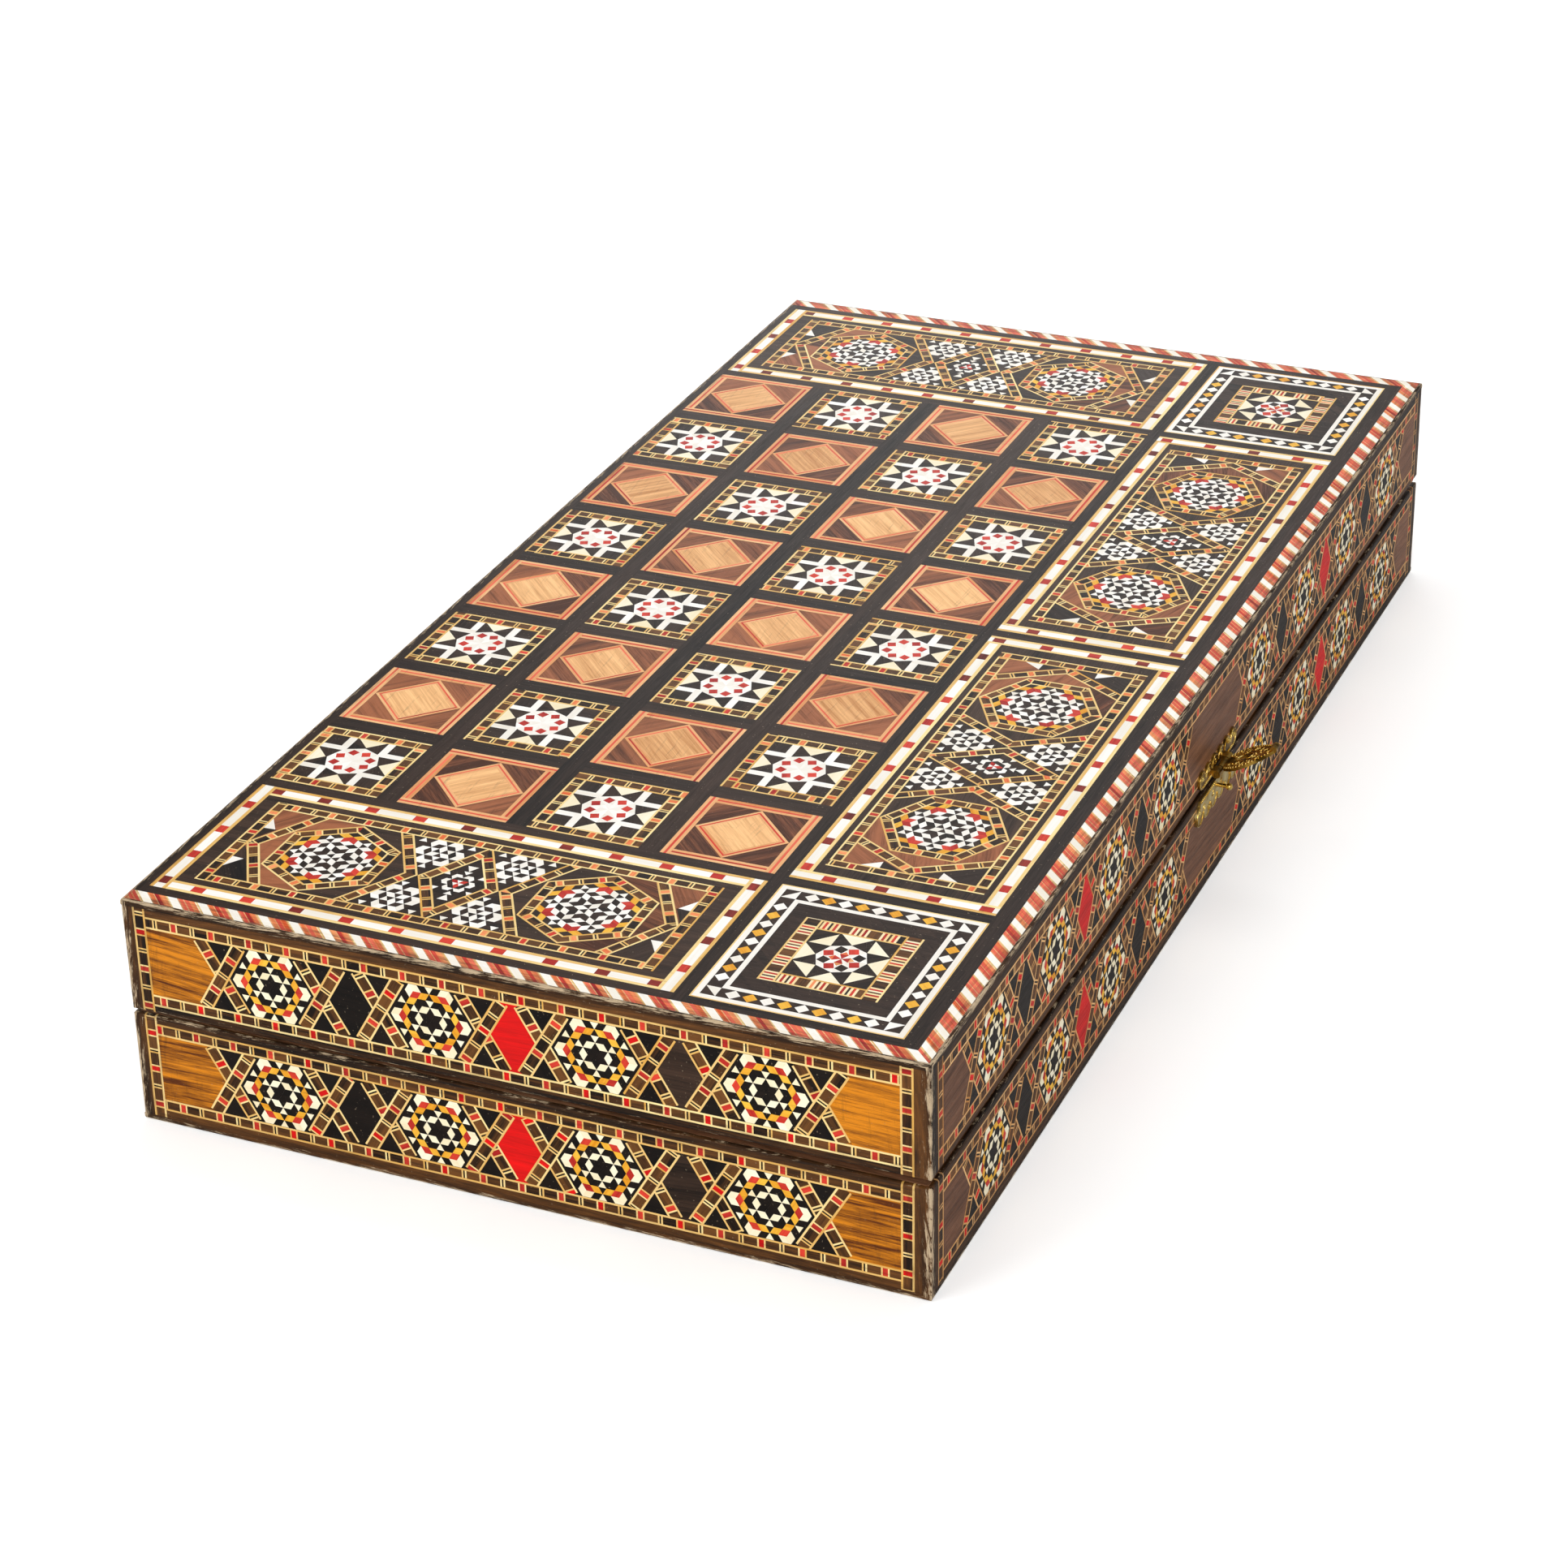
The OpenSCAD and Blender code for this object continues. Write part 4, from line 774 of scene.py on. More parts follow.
def border_panel(length, width, field_l, field_w):
    """A panel with its long side along x, with hexagonal holes for its medallions."""
    x, y = field_l / 2, field_w / 2
    slope = y / math.sqrt(3)
    apex = x - 1.3
    # The field, and in each of its corners a wedge of wood, a small wedge and a bone point, which the
    # V of chain borders. Their corners were measured in the photograph.
    parts = [piece("rosewood", box(-x, -y, -medallion_offset, y), 0.3),
             piece("walnut", box(-medallion_offset, -y, medallion_offset, y), 0.1),
             piece("rosewood", box(medallion_offset, -y, x, y), -0.3)]
    for sx, sy in corners:
        outer, inner = ("rosewood", "ebony") if sy > 0 else ("ebony", "walnut")
        back = piece(outer, [(sx * x, sy * 1.5), (sx * x, sy * y), (sx * (apex - slope), sy * y)])
        near = piece(inner, [(sx * x, sy * 1.5), (sx * x, sy * 7.4), (sx * (x - 3.4), sy * 7.4)])
        white = piece("bone", [(sx * x, sy * 7.3), (sx * (x - 3.0), sy * 7.5), (sx * x, sy * 12.0)])
        parts = lay_all(parts, [back, near, white] + cluster(crossing, y, sx, sy))
    # The rhombus between the crossings, with a six-pointed rose and bone points round it.
    tall = crossing * math.sqrt(3)
    rose = [piece("ebony", [(crossing, 0), (0, tall), (-crossing, 0), (0, -tall)], 1.2)]
    rose += mosaic(1.45, rose_heart, flower_once[:1], flower_twice)
    for sy in (1, -1):
        rose += [piece("bone", [(0, 4.0 * sy), (1.1, 5.5 * sy), (-1.1, 5.5 * sy)]),
                 piece("bone", [(0, 5.6 * sy), (1.4, 8.1 * sy), (-1.4, 8.1 * sy)])]
        rose += [piece("bone", regular((sx * 4.6, sy * 3.6), 1.25, 3, 90 * sy)) for sx in (-1, 1)]
    parts = lay_all(parts, rose)
    # In each quarter of the field three chains: an arm of the V and two halves of the crossing ones.
    for sx, sy in corners:
        quarter = piece("walnut", [(0, 0), (sx * x, 0), (sx * x, sy * y), (0, sy * y)])[1]
        for start, lean, aside in ((apex, -1, 0), (crossing, -1, -1), (crossing, 1, 1)):
            shift = aside * chain_w / 2 / rise
            a = (sx * (start + shift - lean), -sy * math.sqrt(3))
            b = (sx * (start + shift + lean * slope * 1.15), sy * y * 1.15)
            arm = within(bar(a, b, -chain_w / 2, chain_w / 2), quarter)
            parts = inlay(parts, chain(a, b), arm)
    sheet = [piece("walnut", box(-length / 2, 0, length / 2, width / 2)),
             piece("walnut", box(-length / 2, -width / 2, length / 2, 0))]
    sheet = inlay(sheet, parts, box(-x, -y, x, y))
    sheet = ring(sheet, x + chain_w, y + chain_w, chain_w, chain)
    sheet = ring(sheet, length / 2, width / 2, bone_line_w, bone_line)
    return cut(sheet, *(regular((side * medallion_offset, 0), medallion_r, 6, 90) for side in (-1, 1)))


def end_panel():
    """The long panel across an end of the board."""
    return border_panel(133.3, end_panel_w, 111.0, 33.4)


def beside_panel():
    """The long panel beside the board, turned by a right angle."""
    return moved(border_panel(134.25, beside_panel_w, 112.0, 33.0), turn=90)


print("pieces in an end panel:", len(end_panel()))

# %% [markdown]
# The corner panels
#
# Where the two borders meet is a square of its own: a black band of bone and amber lozenges between two
# bone lines, an ebony margin, a striped frame and an eight-pointed black star whose octagon holds a
# little wheel of rhombi.

# %% Corner panels
striped_slips = [(["wenge"], 2.9), (["cream"], 0.6), (["red"], 0.65), (["cream"], 0.6),
                 (["ebony", "wenge"], 0.55), (["cream"], 0.6), (["red", "red", "orange"], 0.65),
                 (["cream"], 0.6)]


def plain(kind, width):
    """A maker of bands of one wood."""
    return lambda a, b: [piece(kind, bar(a, b, -width / 2, width / 2))]


def lozenges(x, y, pitch, reach):
    """Nine bone and amber lozenges along each side, whose middle lines are at +-x and +-y."""
    return [piece("amber" if k % 2 else "bone", regular(centre, reach * dice.uniform(0.94, 1.0), 4))
            for k in range(-4, 5) for side in (-1, 1)
            for centre in ((k * pitch, side * y), (side * x, k * pitch))]


def small_star(half):
    """The black star of a corner panel, in a square of that half width."""
    point, arm, octagon_r = 3.9, 4.4, 6.15
    sheet = [piece("ebony", box(-half, -half, half, half), 0.7)]
    corner = [piece("ivory", wedge_down(half, point)),
              piece("ivory", [(arm, arm), (half - 0.4, arm), (arm, half - 0.4)])]
    sheet = lay_all(sheet, quarter_turns(corner))
    octagon = regular((0, 0), octagon_r, 8)
    wheel = bone_octagon(octagon)
    for k in range(8):
        block = octagon_square(k, 4.0, 1.62)
        petals = []
        if k % 2 == 0:
            petals = [piece("red", [(0, 0), (1.9, -1.05), (1.9, 1.05)]),
                      piece(dice.choice(["peach", "orange"]), [(1.9, -1.05), (3.1, 0), (1.9, 1.05)])]
        petals = moved(petals, turn=45 * k)
        wheel = lay_all(wheel, petals + [piece("red" if k % 2 else "ebony", block)])
    return inlay(sheet, wheel, octagon)


def corner_panel():
    """The nearly square panel at a clasp corner, its long side along y."""
    x, y = beside_panel_w / 2, end_panel_w / 2
    yellow_w, bone_w, black_w, inner_w = 0.4, 1.4, 3.7, 1.3
    sheet = [piece("ebony", box(-x, 0, x, y)), piece("ebony", box(-x, -y, x, 0))]
    sheet = ring(sheet, x, y, yellow_w, plain("maple", yellow_w))
    at = yellow_w
    sheet = ring(sheet, x - at, y - at, bone_w, plain("bone", bone_w))
    at += bone_w
    middle = at + black_w / 2
    sheet = lay_all(sheet, lozenges(x - middle, y - middle, 4.1, black_w / 2))
    for sx, sy in corners:
        ax, ay, bx, by = sx * (x - at), sy * (y - at), sx * (x - at - black_w), sy * (y - at - black_w)
        sheet = lay_all(sheet, [piece("bone", [(bx, by), (ax, by), (bx, ay)])])
    at += black_w
    sheet = ring(sheet, x - at, y - at, inner_w, plain("bone", inner_w))
    frame_half, frame_w = 14.35, 4.2
    star = small_star(frame_half - frame_w)
    sheet = inlay(sheet, star, box(frame_w - frame_half, frame_w - frame_half,
                                   frame_half - frame_w, frame_half - frame_w))
    return ring(sheet, frame_half, frame_half, frame_w,
                lambda a, b: band(a, b, frame_w, 0.5, "maple", striped_slips, dice.uniform(0, 7)))


print("pieces in a corner panel:", len(corner_panel()))

# %% [markdown]
# Ground and rope banding
#
# Ebony strips part the squares and panels. They were laid in strips, the long ones along the board, so
# each has its own grain. Three outer edges carry a rope banding: slanting slips of bone, coral, orange and
# peach that look like a twisted cord.

# %% The plan of the board
squares_x, squares_y = squares_low.x / mm, squares_low.y / mm
squares_end = squares_high.x / mm
end_near, end_far = 139.65, 192.2
beside_x, beside_end, beside_y = 40.1, 90.8, 1.8
banding_w, rim_w = 4.8, 0.75
rope_slips = [(["bone"], 2.5), (["peach"], 0.4), (["coral", "orange"], 1.2), (["peach"], 0.3),
              (["coral", "coral", "red"], 1.2), (["orange"], 0.35), (["coral", "orange"], 1.2),
              (["cream", "peach"], 0.4), (["maple"], 0.4)]


def ground():
    """The ebony strips, each with its grain along it."""
    gap = square_pitch - square_w
    edge_x, edge_y = half_w - banding_w, half_l - banding_w
    strips = [box(-half_w, -edge_y, squares_x, edge_y), box(beside_end, -edge_y, edge_x, edge_y),
              box(squares_end, -edge_y, beside_x, edge_y), box(beside_x, -beside_y, beside_end, beside_y)]
    for i in range(columns):
        left = squares_x + i * square_pitch
        if i < columns - 1:
            strips.append(box(left + square_w, squares_y, left + square_pitch, -squares_y))
        for j in range(rows - 1):
            low = squares_y + square_w + j * square_pitch
            strips.append(box(left, low, left + square_w, low + gap))
    spans = (squares_x, squares_end), (beside_x, beside_end)
    for side, (left, right) in itertools.product((-1, 1), spans):
        strips += [box(left, -side * squares_y, right, side * end_near),
                   box(left, side * end_far, right, side * edge_y)]
    return [piece("ebony", strip) for strip in strips]


def rope(start, end, across, outline):
    """Slips laid from start to end, each slanting by the vector across, inside an outline."""
    length, e = heading(start, end)
    spare = 10.0
    pieces = []
    for kinds, *ends in run_of(rope_slips, -spare, length + spare):
        low = [(start[0] + e[0] * d, start[1] + e[1] * d) for d in ends]
        high = [(x + across[0], y + across[1]) for x, y in reversed(low)]
        pieces.append(piece(dice.choice(kinds), low + high))
    return trim(pieces, outline)


def banding():
    """The rope banding and its dark outer line at both ends and the clasp side, mitred at the corners."""
    def outlines(x, y, w):
        """A strip of width w inside the edges at -y, x and y, in its three mitred parts."""
        return [[(-half_w, -y), (x, -y), (x - w, w - y), (-half_w, w - y)],
                [(x - w, w - y), (x, -y), (x, y), (x - w, y - w)],
                [(-half_w, y - w), (x - w, y - w), (x, y), (-half_w, y)]]

    sheet = [piece("wenge", outline) for outline in outlines(half_w, half_l, rim_w)]
    x, y, w = half_w - rim_w, half_l - rim_w, banding_w - rim_w
    starts = [(-half_w, -y), (x - w, -y), (-half_w, y - w)]
    stops = [(x, -y), (x - w, y), (x, y - w)]
    for start, stop, across, outline in zip(starts, stops, ((-w, w), (w, -w), (-w, w)), outlines(x, y, w)):
        sheet += rope(start, stop, across, outline)
    return sheet


def in_places(make, places, turn=0.0):
    """A fresh copy of a panel or medallion in each place; those on the far half are turned right round."""
    return [p for place in places for p in moved(make(), place, turn + (180 if place[1] > 0 else 0))]


end_panel_places = [((squares_x + squares_end) / 2, side * (end_near + end_far) / 2) for side in (-1, 1)]
beside_places = [((beside_x + beside_end) / 2, side * (beside_y - squares_y) / 2) for side in (-1, 1)]
corner_places = [(beside_places[0][0], place[1]) for place in end_panel_places]
across_medallions = [(x + side * medallion_offset, y) for x, y in end_panel_places for side in (-1, 1)]
along_medallions = [(x, y + side * medallion_offset) for x, y in beside_places for side in (-1, 1)]
print("strips of ebony:", len(ground()), "and slips of rope:", len(banding()))

# %% [markdown]
# The sides
#
# Each side has a field between two chains. Chains cross in Xs, and between two Xs stands either a mosaic
# hexagon or a plain block: ebony, bright red, brown, and golden walnut at the ends. A vertical chain and a
# dark strip close each end. The long sides have a longer walnut block in the middle, under the clasp.

# %% Side strips
face_t, rim_z = 1.6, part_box("base_long_sides")[1].z / mm
side_low, side_high = 6.7, 24.5
side_middle = (side_low + side_high) / 2
cross_offset, cross_w = 13.0, 3.5
upright_w = 3.2
side_slips = chain_slips[:6] + [(["red", "red", "scarlet"], 1.25), (["maple"], 0.4)]
short_run = [-61.5, -20.5, 20.5, 61.5]
long_run = [-161.5, -120.5, -79.5, -38.5, 38.5, 79.5, 120.5, 161.5]
short_blocks = ["gold_walnut", "ebony", "scarlet", "walnut", "gold_walnut"]
long_blocks = ["brown_walnut", "ebony", "scarlet", "ebony", "brown_walnut", "ebony", "scarlet", "ebony",
               "brown_walnut"]


def side_strip(half, ends, run, blocks, over):
    """One side of a tray. The two ends are the widths of the dark strips, and t runs from face to rim.
    In each X the chain that leans the way of over is the one that isn't interrupted."""
    left, right = -half + ends[0], half - ends[1]
    inner_left, inner_right = left + upright_w, right - upright_w
    parts = []
    crosses = [c + side * cross_offset for c in run for side in (-1, 1)]
    starts, stops = [inner_left] + crosses[1::2], crosses[0::2] + [inner_right]
    for kind, start, stop in zip(blocks, starts, stops):
        parts.append(piece(kind, box(start, side_low, stop, side_high), dice.uniform(-0.1, 0.1)))
    tall = (side_high - side_low) / 2 + 0.2
    wide = tall / math.sqrt(3)
    for c in run:
        parts.append(piece("ebony", box(c - cross_offset, side_low, c + cross_offset, side_high)))
    for c in crosses:
        wedges = [piece("ebony", [(c, side_middle), (c + wide, side_middle + up * tall),
                                  (c - wide, side_middle + up * tall)]) for up in (-1, 1)]
        parts = lay_all(parts, wedges)
        for lean in (-over, over):
            a, b = (c - lean * wide, side_middle - tall), (c + lean * wide, side_middle + tall)
            recess = bar(a, b, -cross_w / 2, cross_w / 2)
            parts = inlay(parts, chain(a, b, cross_w, slips=side_slips), recess)
    parts = cut(parts, *(regular((c, side_middle), side_medallion_r, 6) for c in run))
    sheet = trim(parts, box(inner_left, side_low, inner_right, side_high))
    for t in (side_low - chain_w / 2, side_high + chain_w / 2):
        sheet += chain((inner_left, t), (inner_right, t), slips=side_slips)
    for low, high in ((face_t, side_low - chain_w), (side_high + chain_w, rim_z)):
        sheet.append(piece("wenge", box(inner_left, low, inner_right, high)))
    for start, stop, middle in ((-half, left, left + upright_w / 2), (right, half, right - upright_w / 2)):
        sheet.append(piece("wenge", box(start, face_t, stop, rim_z)))
        sheet += chain((middle, face_t), (middle, rim_z), upright_w, slips=side_slips)
    return sheet


def with_side_copies(sheet, stock):
    """The sheet with some woods swapped for the sides' copies; the darker ebony is painted shade."""
    return [(stock.get(kind, kind), shape, tone, grain) for kind, shape, tone, grain in sheet]


# The sides' copies of woods: the darker ebony is painted shade, the bone yellower, the maple browner.
short_stock = {"ebony": "deep_ebony", "bone": "yellowed_bone"}
long_stock = {**short_stock, "maple": "aged_maple"}


def hexagons(run):
    """The mosaic hexagons of one side."""
    return with_side_copies([p for c in run for p in moved(side_medallion(), (c, side_middle), 60 * dice.randrange(6))],
                short_stock)


print("pieces in a short side:", len(side_strip(half_w, (3, 4), short_run, short_blocks, 1)))

# %% [markdown]
# Sheets into solid pieces
#
# A sheet is flat until its pieces are laid. Here each piece becomes a closed prism with its own grain
# and tone. There are some 34,000 of them, each cut differently by the pattern, so they are written as
# mesh data in one loop; adding and cutting each with operators would take hours. The rounded outer edges
# are made in the same loop for a like reason: the bevel operator narrows every bevel to suit the thinnest
# slip, but a cabinet maker rounds the whole edge at once. Where two sides meet, pieces are mitred.
#
# Each piece also gets its own small rectangle of the texture, larger for larger pieces. Thousands of
# pieces share one texture, and without this a slip half a millimetre wide would fall between its pixels.

# %% Texture cells
def cells(sizes, gap=0.0016):
    """Rectangles in the unit square for pieces of these sizes, on shelves, as large as will fit."""
    # Small pieces get more than their share, and no cell is over four times as long as it is wide.
    fairness, thinnest, longest = 0.62, 0.3, 4
    wanted = []
    for size in sizes:
        long, short = (max(length, thinnest) ** fairness for length in size)
        wanted.append((min(long, short * longest), short))
    order = sorted(range(len(wanted)), key=lambda k: -wanted[k][1])

    def shelved(scale):
        """The rectangles at one scale, or None where they don't fit."""
        x, y, shelf, places = 0.0, 0.0, 0.0, [None] * len(wanted)
        for k in order:
            w, h = wanted[k][0] * scale + 2 * gap, wanted[k][1] * scale + 2 * gap
            if x + w > 1:
                x, y, shelf = 0.0, y + shelf, 0.0
            shelf = max(shelf, h)
            if y + shelf > 1 or w > 1:
                return None
            places[k] = (x + gap, y + gap, w - 2 * gap, h - 2 * gap)
            x += w
        return places

    low, high, best = 0.0, 0.5, None
    for _ in range(16):
        middle = (low + high) / 2
        tried = shelved(middle)
        low, high, best = (middle, high, tried) if tried else (low, middle, best)
    return best


# %% Rims and prisms
rim_r = 0.55
round_steps = [(0.0, rim_r), (0.293 * rim_r, 0.293 * rim_r), (rim_r, 0.0)]  # an arc in two chords
seam = 0.008  # by which each piece is drawn in
touching = 1e-4  # as near as this counts as on a rim


def moved_in(shape, axis, value, by):
    """The outline with its side on a rim moved inwards by a distance, or by most of a short piece."""
    on = [abs(p[axis] - value) < touching for p in shape]
    out = list(shape)
    for i, p in enumerate(shape):
        for step in (1, -1):
            back = (i - step) % len(shape)
            q = shape[back]
            if on[i] and on[(i + step) % len(shape)] and not on[back]:
                share = min(by / abs(q[axis] - value), 0.85)
                out[i] = (p[0] + (q[0] - p[0]) * share, p[1] + (q[1] - p[1]) * share)
    return out


def layers(shape, rims, depth):
    """The outlines of one piece from its face inwards, as (depth, outline)."""
    touched = [rim for rim in rims if sum(abs(p[rim[0]] - rim[1]) < touching for p in shape) > 1]
    if not touched:
        return [(0.0, shape), (depth, shape)]
    out = []
    for d, by in round_steps + [(depth, 0.0)]:
        level = shape
        for axis, value, mitred in touched:
            level = moved_in(level, axis, value, max(d, by) if mitred else by)
        out.append((d, level))
    return out


def shrunk(shape, share, by=0.0):
    """The outline drawn in to a share of its size and then by a distance in mm, but to half at most."""
    cx, cy = (sum(p[k] for p in shape) / len(shape) for k in (0, 1))
    out = []
    for x, y in shape:
        keep = max(share - by / max(math.hypot(x - cx, y - cy), 0.05), 0.5)
        out.append((cx + (x - cx) * keep, cy + (y - cy) * keep))
    return out


def flat_frame(shape):
    """The turn that levels a shape's longest side, and the low corner and the size of the shape then."""
    a, b = max(zip(shape, shape[1:] + shape[:1]), key=lambda side: math.dist(*side))
    angle = math.atan2(b[1] - a[1], b[0] - a[0])
    c, s = math.cos(angle), math.sin(angle)
    us, vs = [x * c + y * s for x, y in shape], [y * c - x * s for x, y in shape]
    return c, s, min(us), min(vs), max(us) - min(us), max(vs) - min(vs)


def prism(shape, grain, place, depth, rims, flat, cell):
    """One piece as a solid: its points, its faces, their places in its texture cell, and its grain."""
    c, s, u0, v0, du, dv = flat
    x0, y0 = shape[0]
    origin, step = place(x0, y0, 0), 0.001
    run_s, run_t = place(x0 + step, y0, 0) - origin, place(x0, y0 + step, 0) - origin
    inwards = place(x0, y0, step) - origin
    way = (run_s * math.cos(grain) + run_t * math.sin(grain)).normalized()
    points, drawn = [], []
    levels = layers(shape, rims, depth)
    last = len(levels) - 1
    for k, (d, level) in enumerate(levels):
        points += [place(x, y, d) * mm for x, y in shrunk(level, 1.0, seam)]
        # In the texture the deeper outlines lie inside the face's, which leaves the sides a strip of it.
        drawn += [(cell[0] + (x * c + y * s - u0) / du * cell[2],
                   cell[1] + (y * c - x * s - v0) / dv * cell[3])
                  for x, y in shrunk(level, 1.0 if k == 0 else 0.98 if k < last else 0.86)]
    count = len(shape)
    faces = [[last * count + i for i in reversed(range(count))]]
    for k in reversed(range(last)):
        for i in range(count):
            after = (i + 1) % count
            faces.append([(k + 1) * count + i, (k + 1) * count + after, k * count + after, k * count + i])
    faces.append(list(range(count)))
    if run_s.cross(run_t).dot(inwards) >= 0:
        faces = [face[::-1] for face in faces]
    return points, faces, [drawn[i] for face in faces for i in face], way


def lay(name, beds, nodes, body, slot):
    """Makes the pieces of several beds into one object. A bed is (sheet, place, depth, rims)."""
    laid = [(p, bed) for sheet, *bed in beds for p in sheet]
    flats = [flat_frame(p[1]) for p, bed in laid]
    kinds = sorted({p[0] for p, bed in laid})
    points, faces, uvs, slots, tones, grains = [], [], [], [], [], []
    for ((kind, shape, tone, grain), bed), flat, cell in zip(laid, flats, cells([f[4:] for f in flats])):
        own_points, own_faces, own_uvs, way = prism(shape, grain, *bed, flat, cell)
        faces += [[len(points) + i for i in face] for face in own_faces]
        points += own_points
        uvs += own_uvs
        slots += [kinds.index(kind)] * len(own_faces)
        tones += [tone] * len(own_faces)
        grains += list(way) * len(own_faces)
    mesh = bpy.data.meshes.new(name)
    mesh.from_pydata(points, [], faces)
    for kind in kinds:
        mesh.materials.append(woods[kind])
    mesh.polygons.foreach_set("material_index", slots)
    mesh.attributes.new("tone", "FLOAT", "FACE").data.foreach_set("value", tones)
    mesh.attributes.new("grain", "FLOAT_VECTOR", "FACE").data.foreach_set("vector", grains)
    mesh.uv_layers.new(name="OFBake").data.foreach_set("uv", [c for uv in uvs for c in uv])
    mesh.update()
    sheet_piece = bpy.data.objects.new(name, mesh)
    bpy.context.scene.collection.objects.link(sheet_piece)
    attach(sheet_piece, body)
    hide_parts(*nodes)
    print(name, "has", len(laid), "pieces and", sum(len(f) - 2 for f in faces), "triangles")


# %% [markdown]
# Laying both trays
#
# A bed says where a flat sheet lies, in millimetres: s and t run along the sheet, and d is the depth into
# the wood. On the sides t is the height above the face, and s runs to the right as one looks at that side.
# Both trays are the same tray, so the lid's places are the base's turned over on to it, and tipped by the
# third of a degree that the lid stands ajar.

# %% Places of the sheets
face_depth, side_depth, floor_depth = 1.55, 1.15, 0.75
floor_z_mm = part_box("base_floor")[1].z / mm


def on_face(s, t, d):
    """The outer face of the base, which lies on the table."""
    return Vector((s, t, d))


def on_front(s, t, d):
    """The outer side of the front."""
    return Vector((s, d - half_l, t))


def on_back(s, t, d):
    """The outer side of the back."""
    return Vector((-s, half_l - d, t))


def on_clasp(s, t, d):
    """The outer side that has the clasp."""
    return Vector((half_w - d, s, t))


def on_hinge(s, t, d):
    """The outer side that has the hinges."""
    return Vector((d - half_w, -s, t))


def on_floor(s, t, d):
    """The floor inside, on which the points lie."""
    return Vector((s, t, floor_z_mm - d))


def in_lid(place):
    """The same place on the lid: turned over, and tipped about the hinge's axis."""
    def lid_place(s, t, d):
        p = place(s, t, d)
        dx, dz = p.x - hinge_x, shut_h - p.z - hinge_z
        return Vector((hinge_x + dx * math.cos(ajar) - dz * math.sin(ajar), p.y,
                       hinge_z + dx * math.sin(ajar) + dz * math.cos(ajar)))
    return lid_place


# %% The inside: a floor with points
inner_w, inner_l, points_per_end, boards = 90.8, 190.8, 6, 4  # the floor's half widths, and counts
point_pitch, point_gap, point_l = 2 * inner_w / points_per_end, 1.5, 148.0


def point_outlines(inset=0.0):
    """The long triangles at both ends of the floor, each drawn in by a distance on its long sides."""
    outlines = []
    for side, k in itertools.product((-1, 1), range(points_per_end)):
        left = -inner_w + k * point_pitch + point_gap / 2
        right = left + point_pitch - point_gap
        share = inset / (right - left) * 2
        tip = inner_l - point_l * (1 - share)
        outlines.append([(left + inset, side * inner_l), (right - inset, side * inner_l),
                         ((left + right) / 2, side * tip)])
    return outlines


def points_sheet():
    """Points with an ivory and an ebony core in turn, each with two lines along its sides."""
    sheet = []
    for k, outlines in enumerate(zip(*(point_outlines(inset) for inset in (0, 0.9, 1.8)))):
        light = (k + k // points_per_end) % 2 == 0
        kinds = ("maple", "ebony", "ivory") if light else ("cream", "red", "ebony")
        sheet = lay_all(sheet, [piece(kind, outline) for kind, outline in zip(kinds, outlines)])
    return sheet


def floor_sheet():
    """Four walnut boards along the tray, with a chain across the middle and holes for the points."""
    board_w, bar_w = 2 * inner_w / boards, 4.0
    sheet = [piece("walnut", box(-inner_w + k * board_w, -inner_l, -inner_w + (k + 1) * board_w, inner_l))
             for k in range(boards)]
    sheet = inlay(sheet, chain((-inner_w, 0), (inner_w, 0), bar_w, 0.7),
                  box(-inner_w, -bar_w / 2, inner_w, bar_w / 2))
    return cut(sheet, *(piece("walnut", outline)[1] for outline in point_outlines()))


# %% Lay the sheets of both trays
hinge_at, notch_half, notch_t = 128, 16.1, 1.95
leaf_notches = [box(side * hinge_at - notch_half, rim_z - notch_t, side * hinge_at + notch_half, rim_z + 1)
                for side in (-1, 1)]
# A rim is a line of the sheet whose axis has a value, and it is mitred where another side meets it.
face_rims = [(0, -half_w, False), (0, half_w, False), (1, -half_l, False), (1, half_l, False)]
short_rims = [(0, -half_w, True), (0, half_w, True), (1, rim_z, False)]
long_rims = [(0, -half_l, True), (0, half_l, True), (1, rim_z, False)]


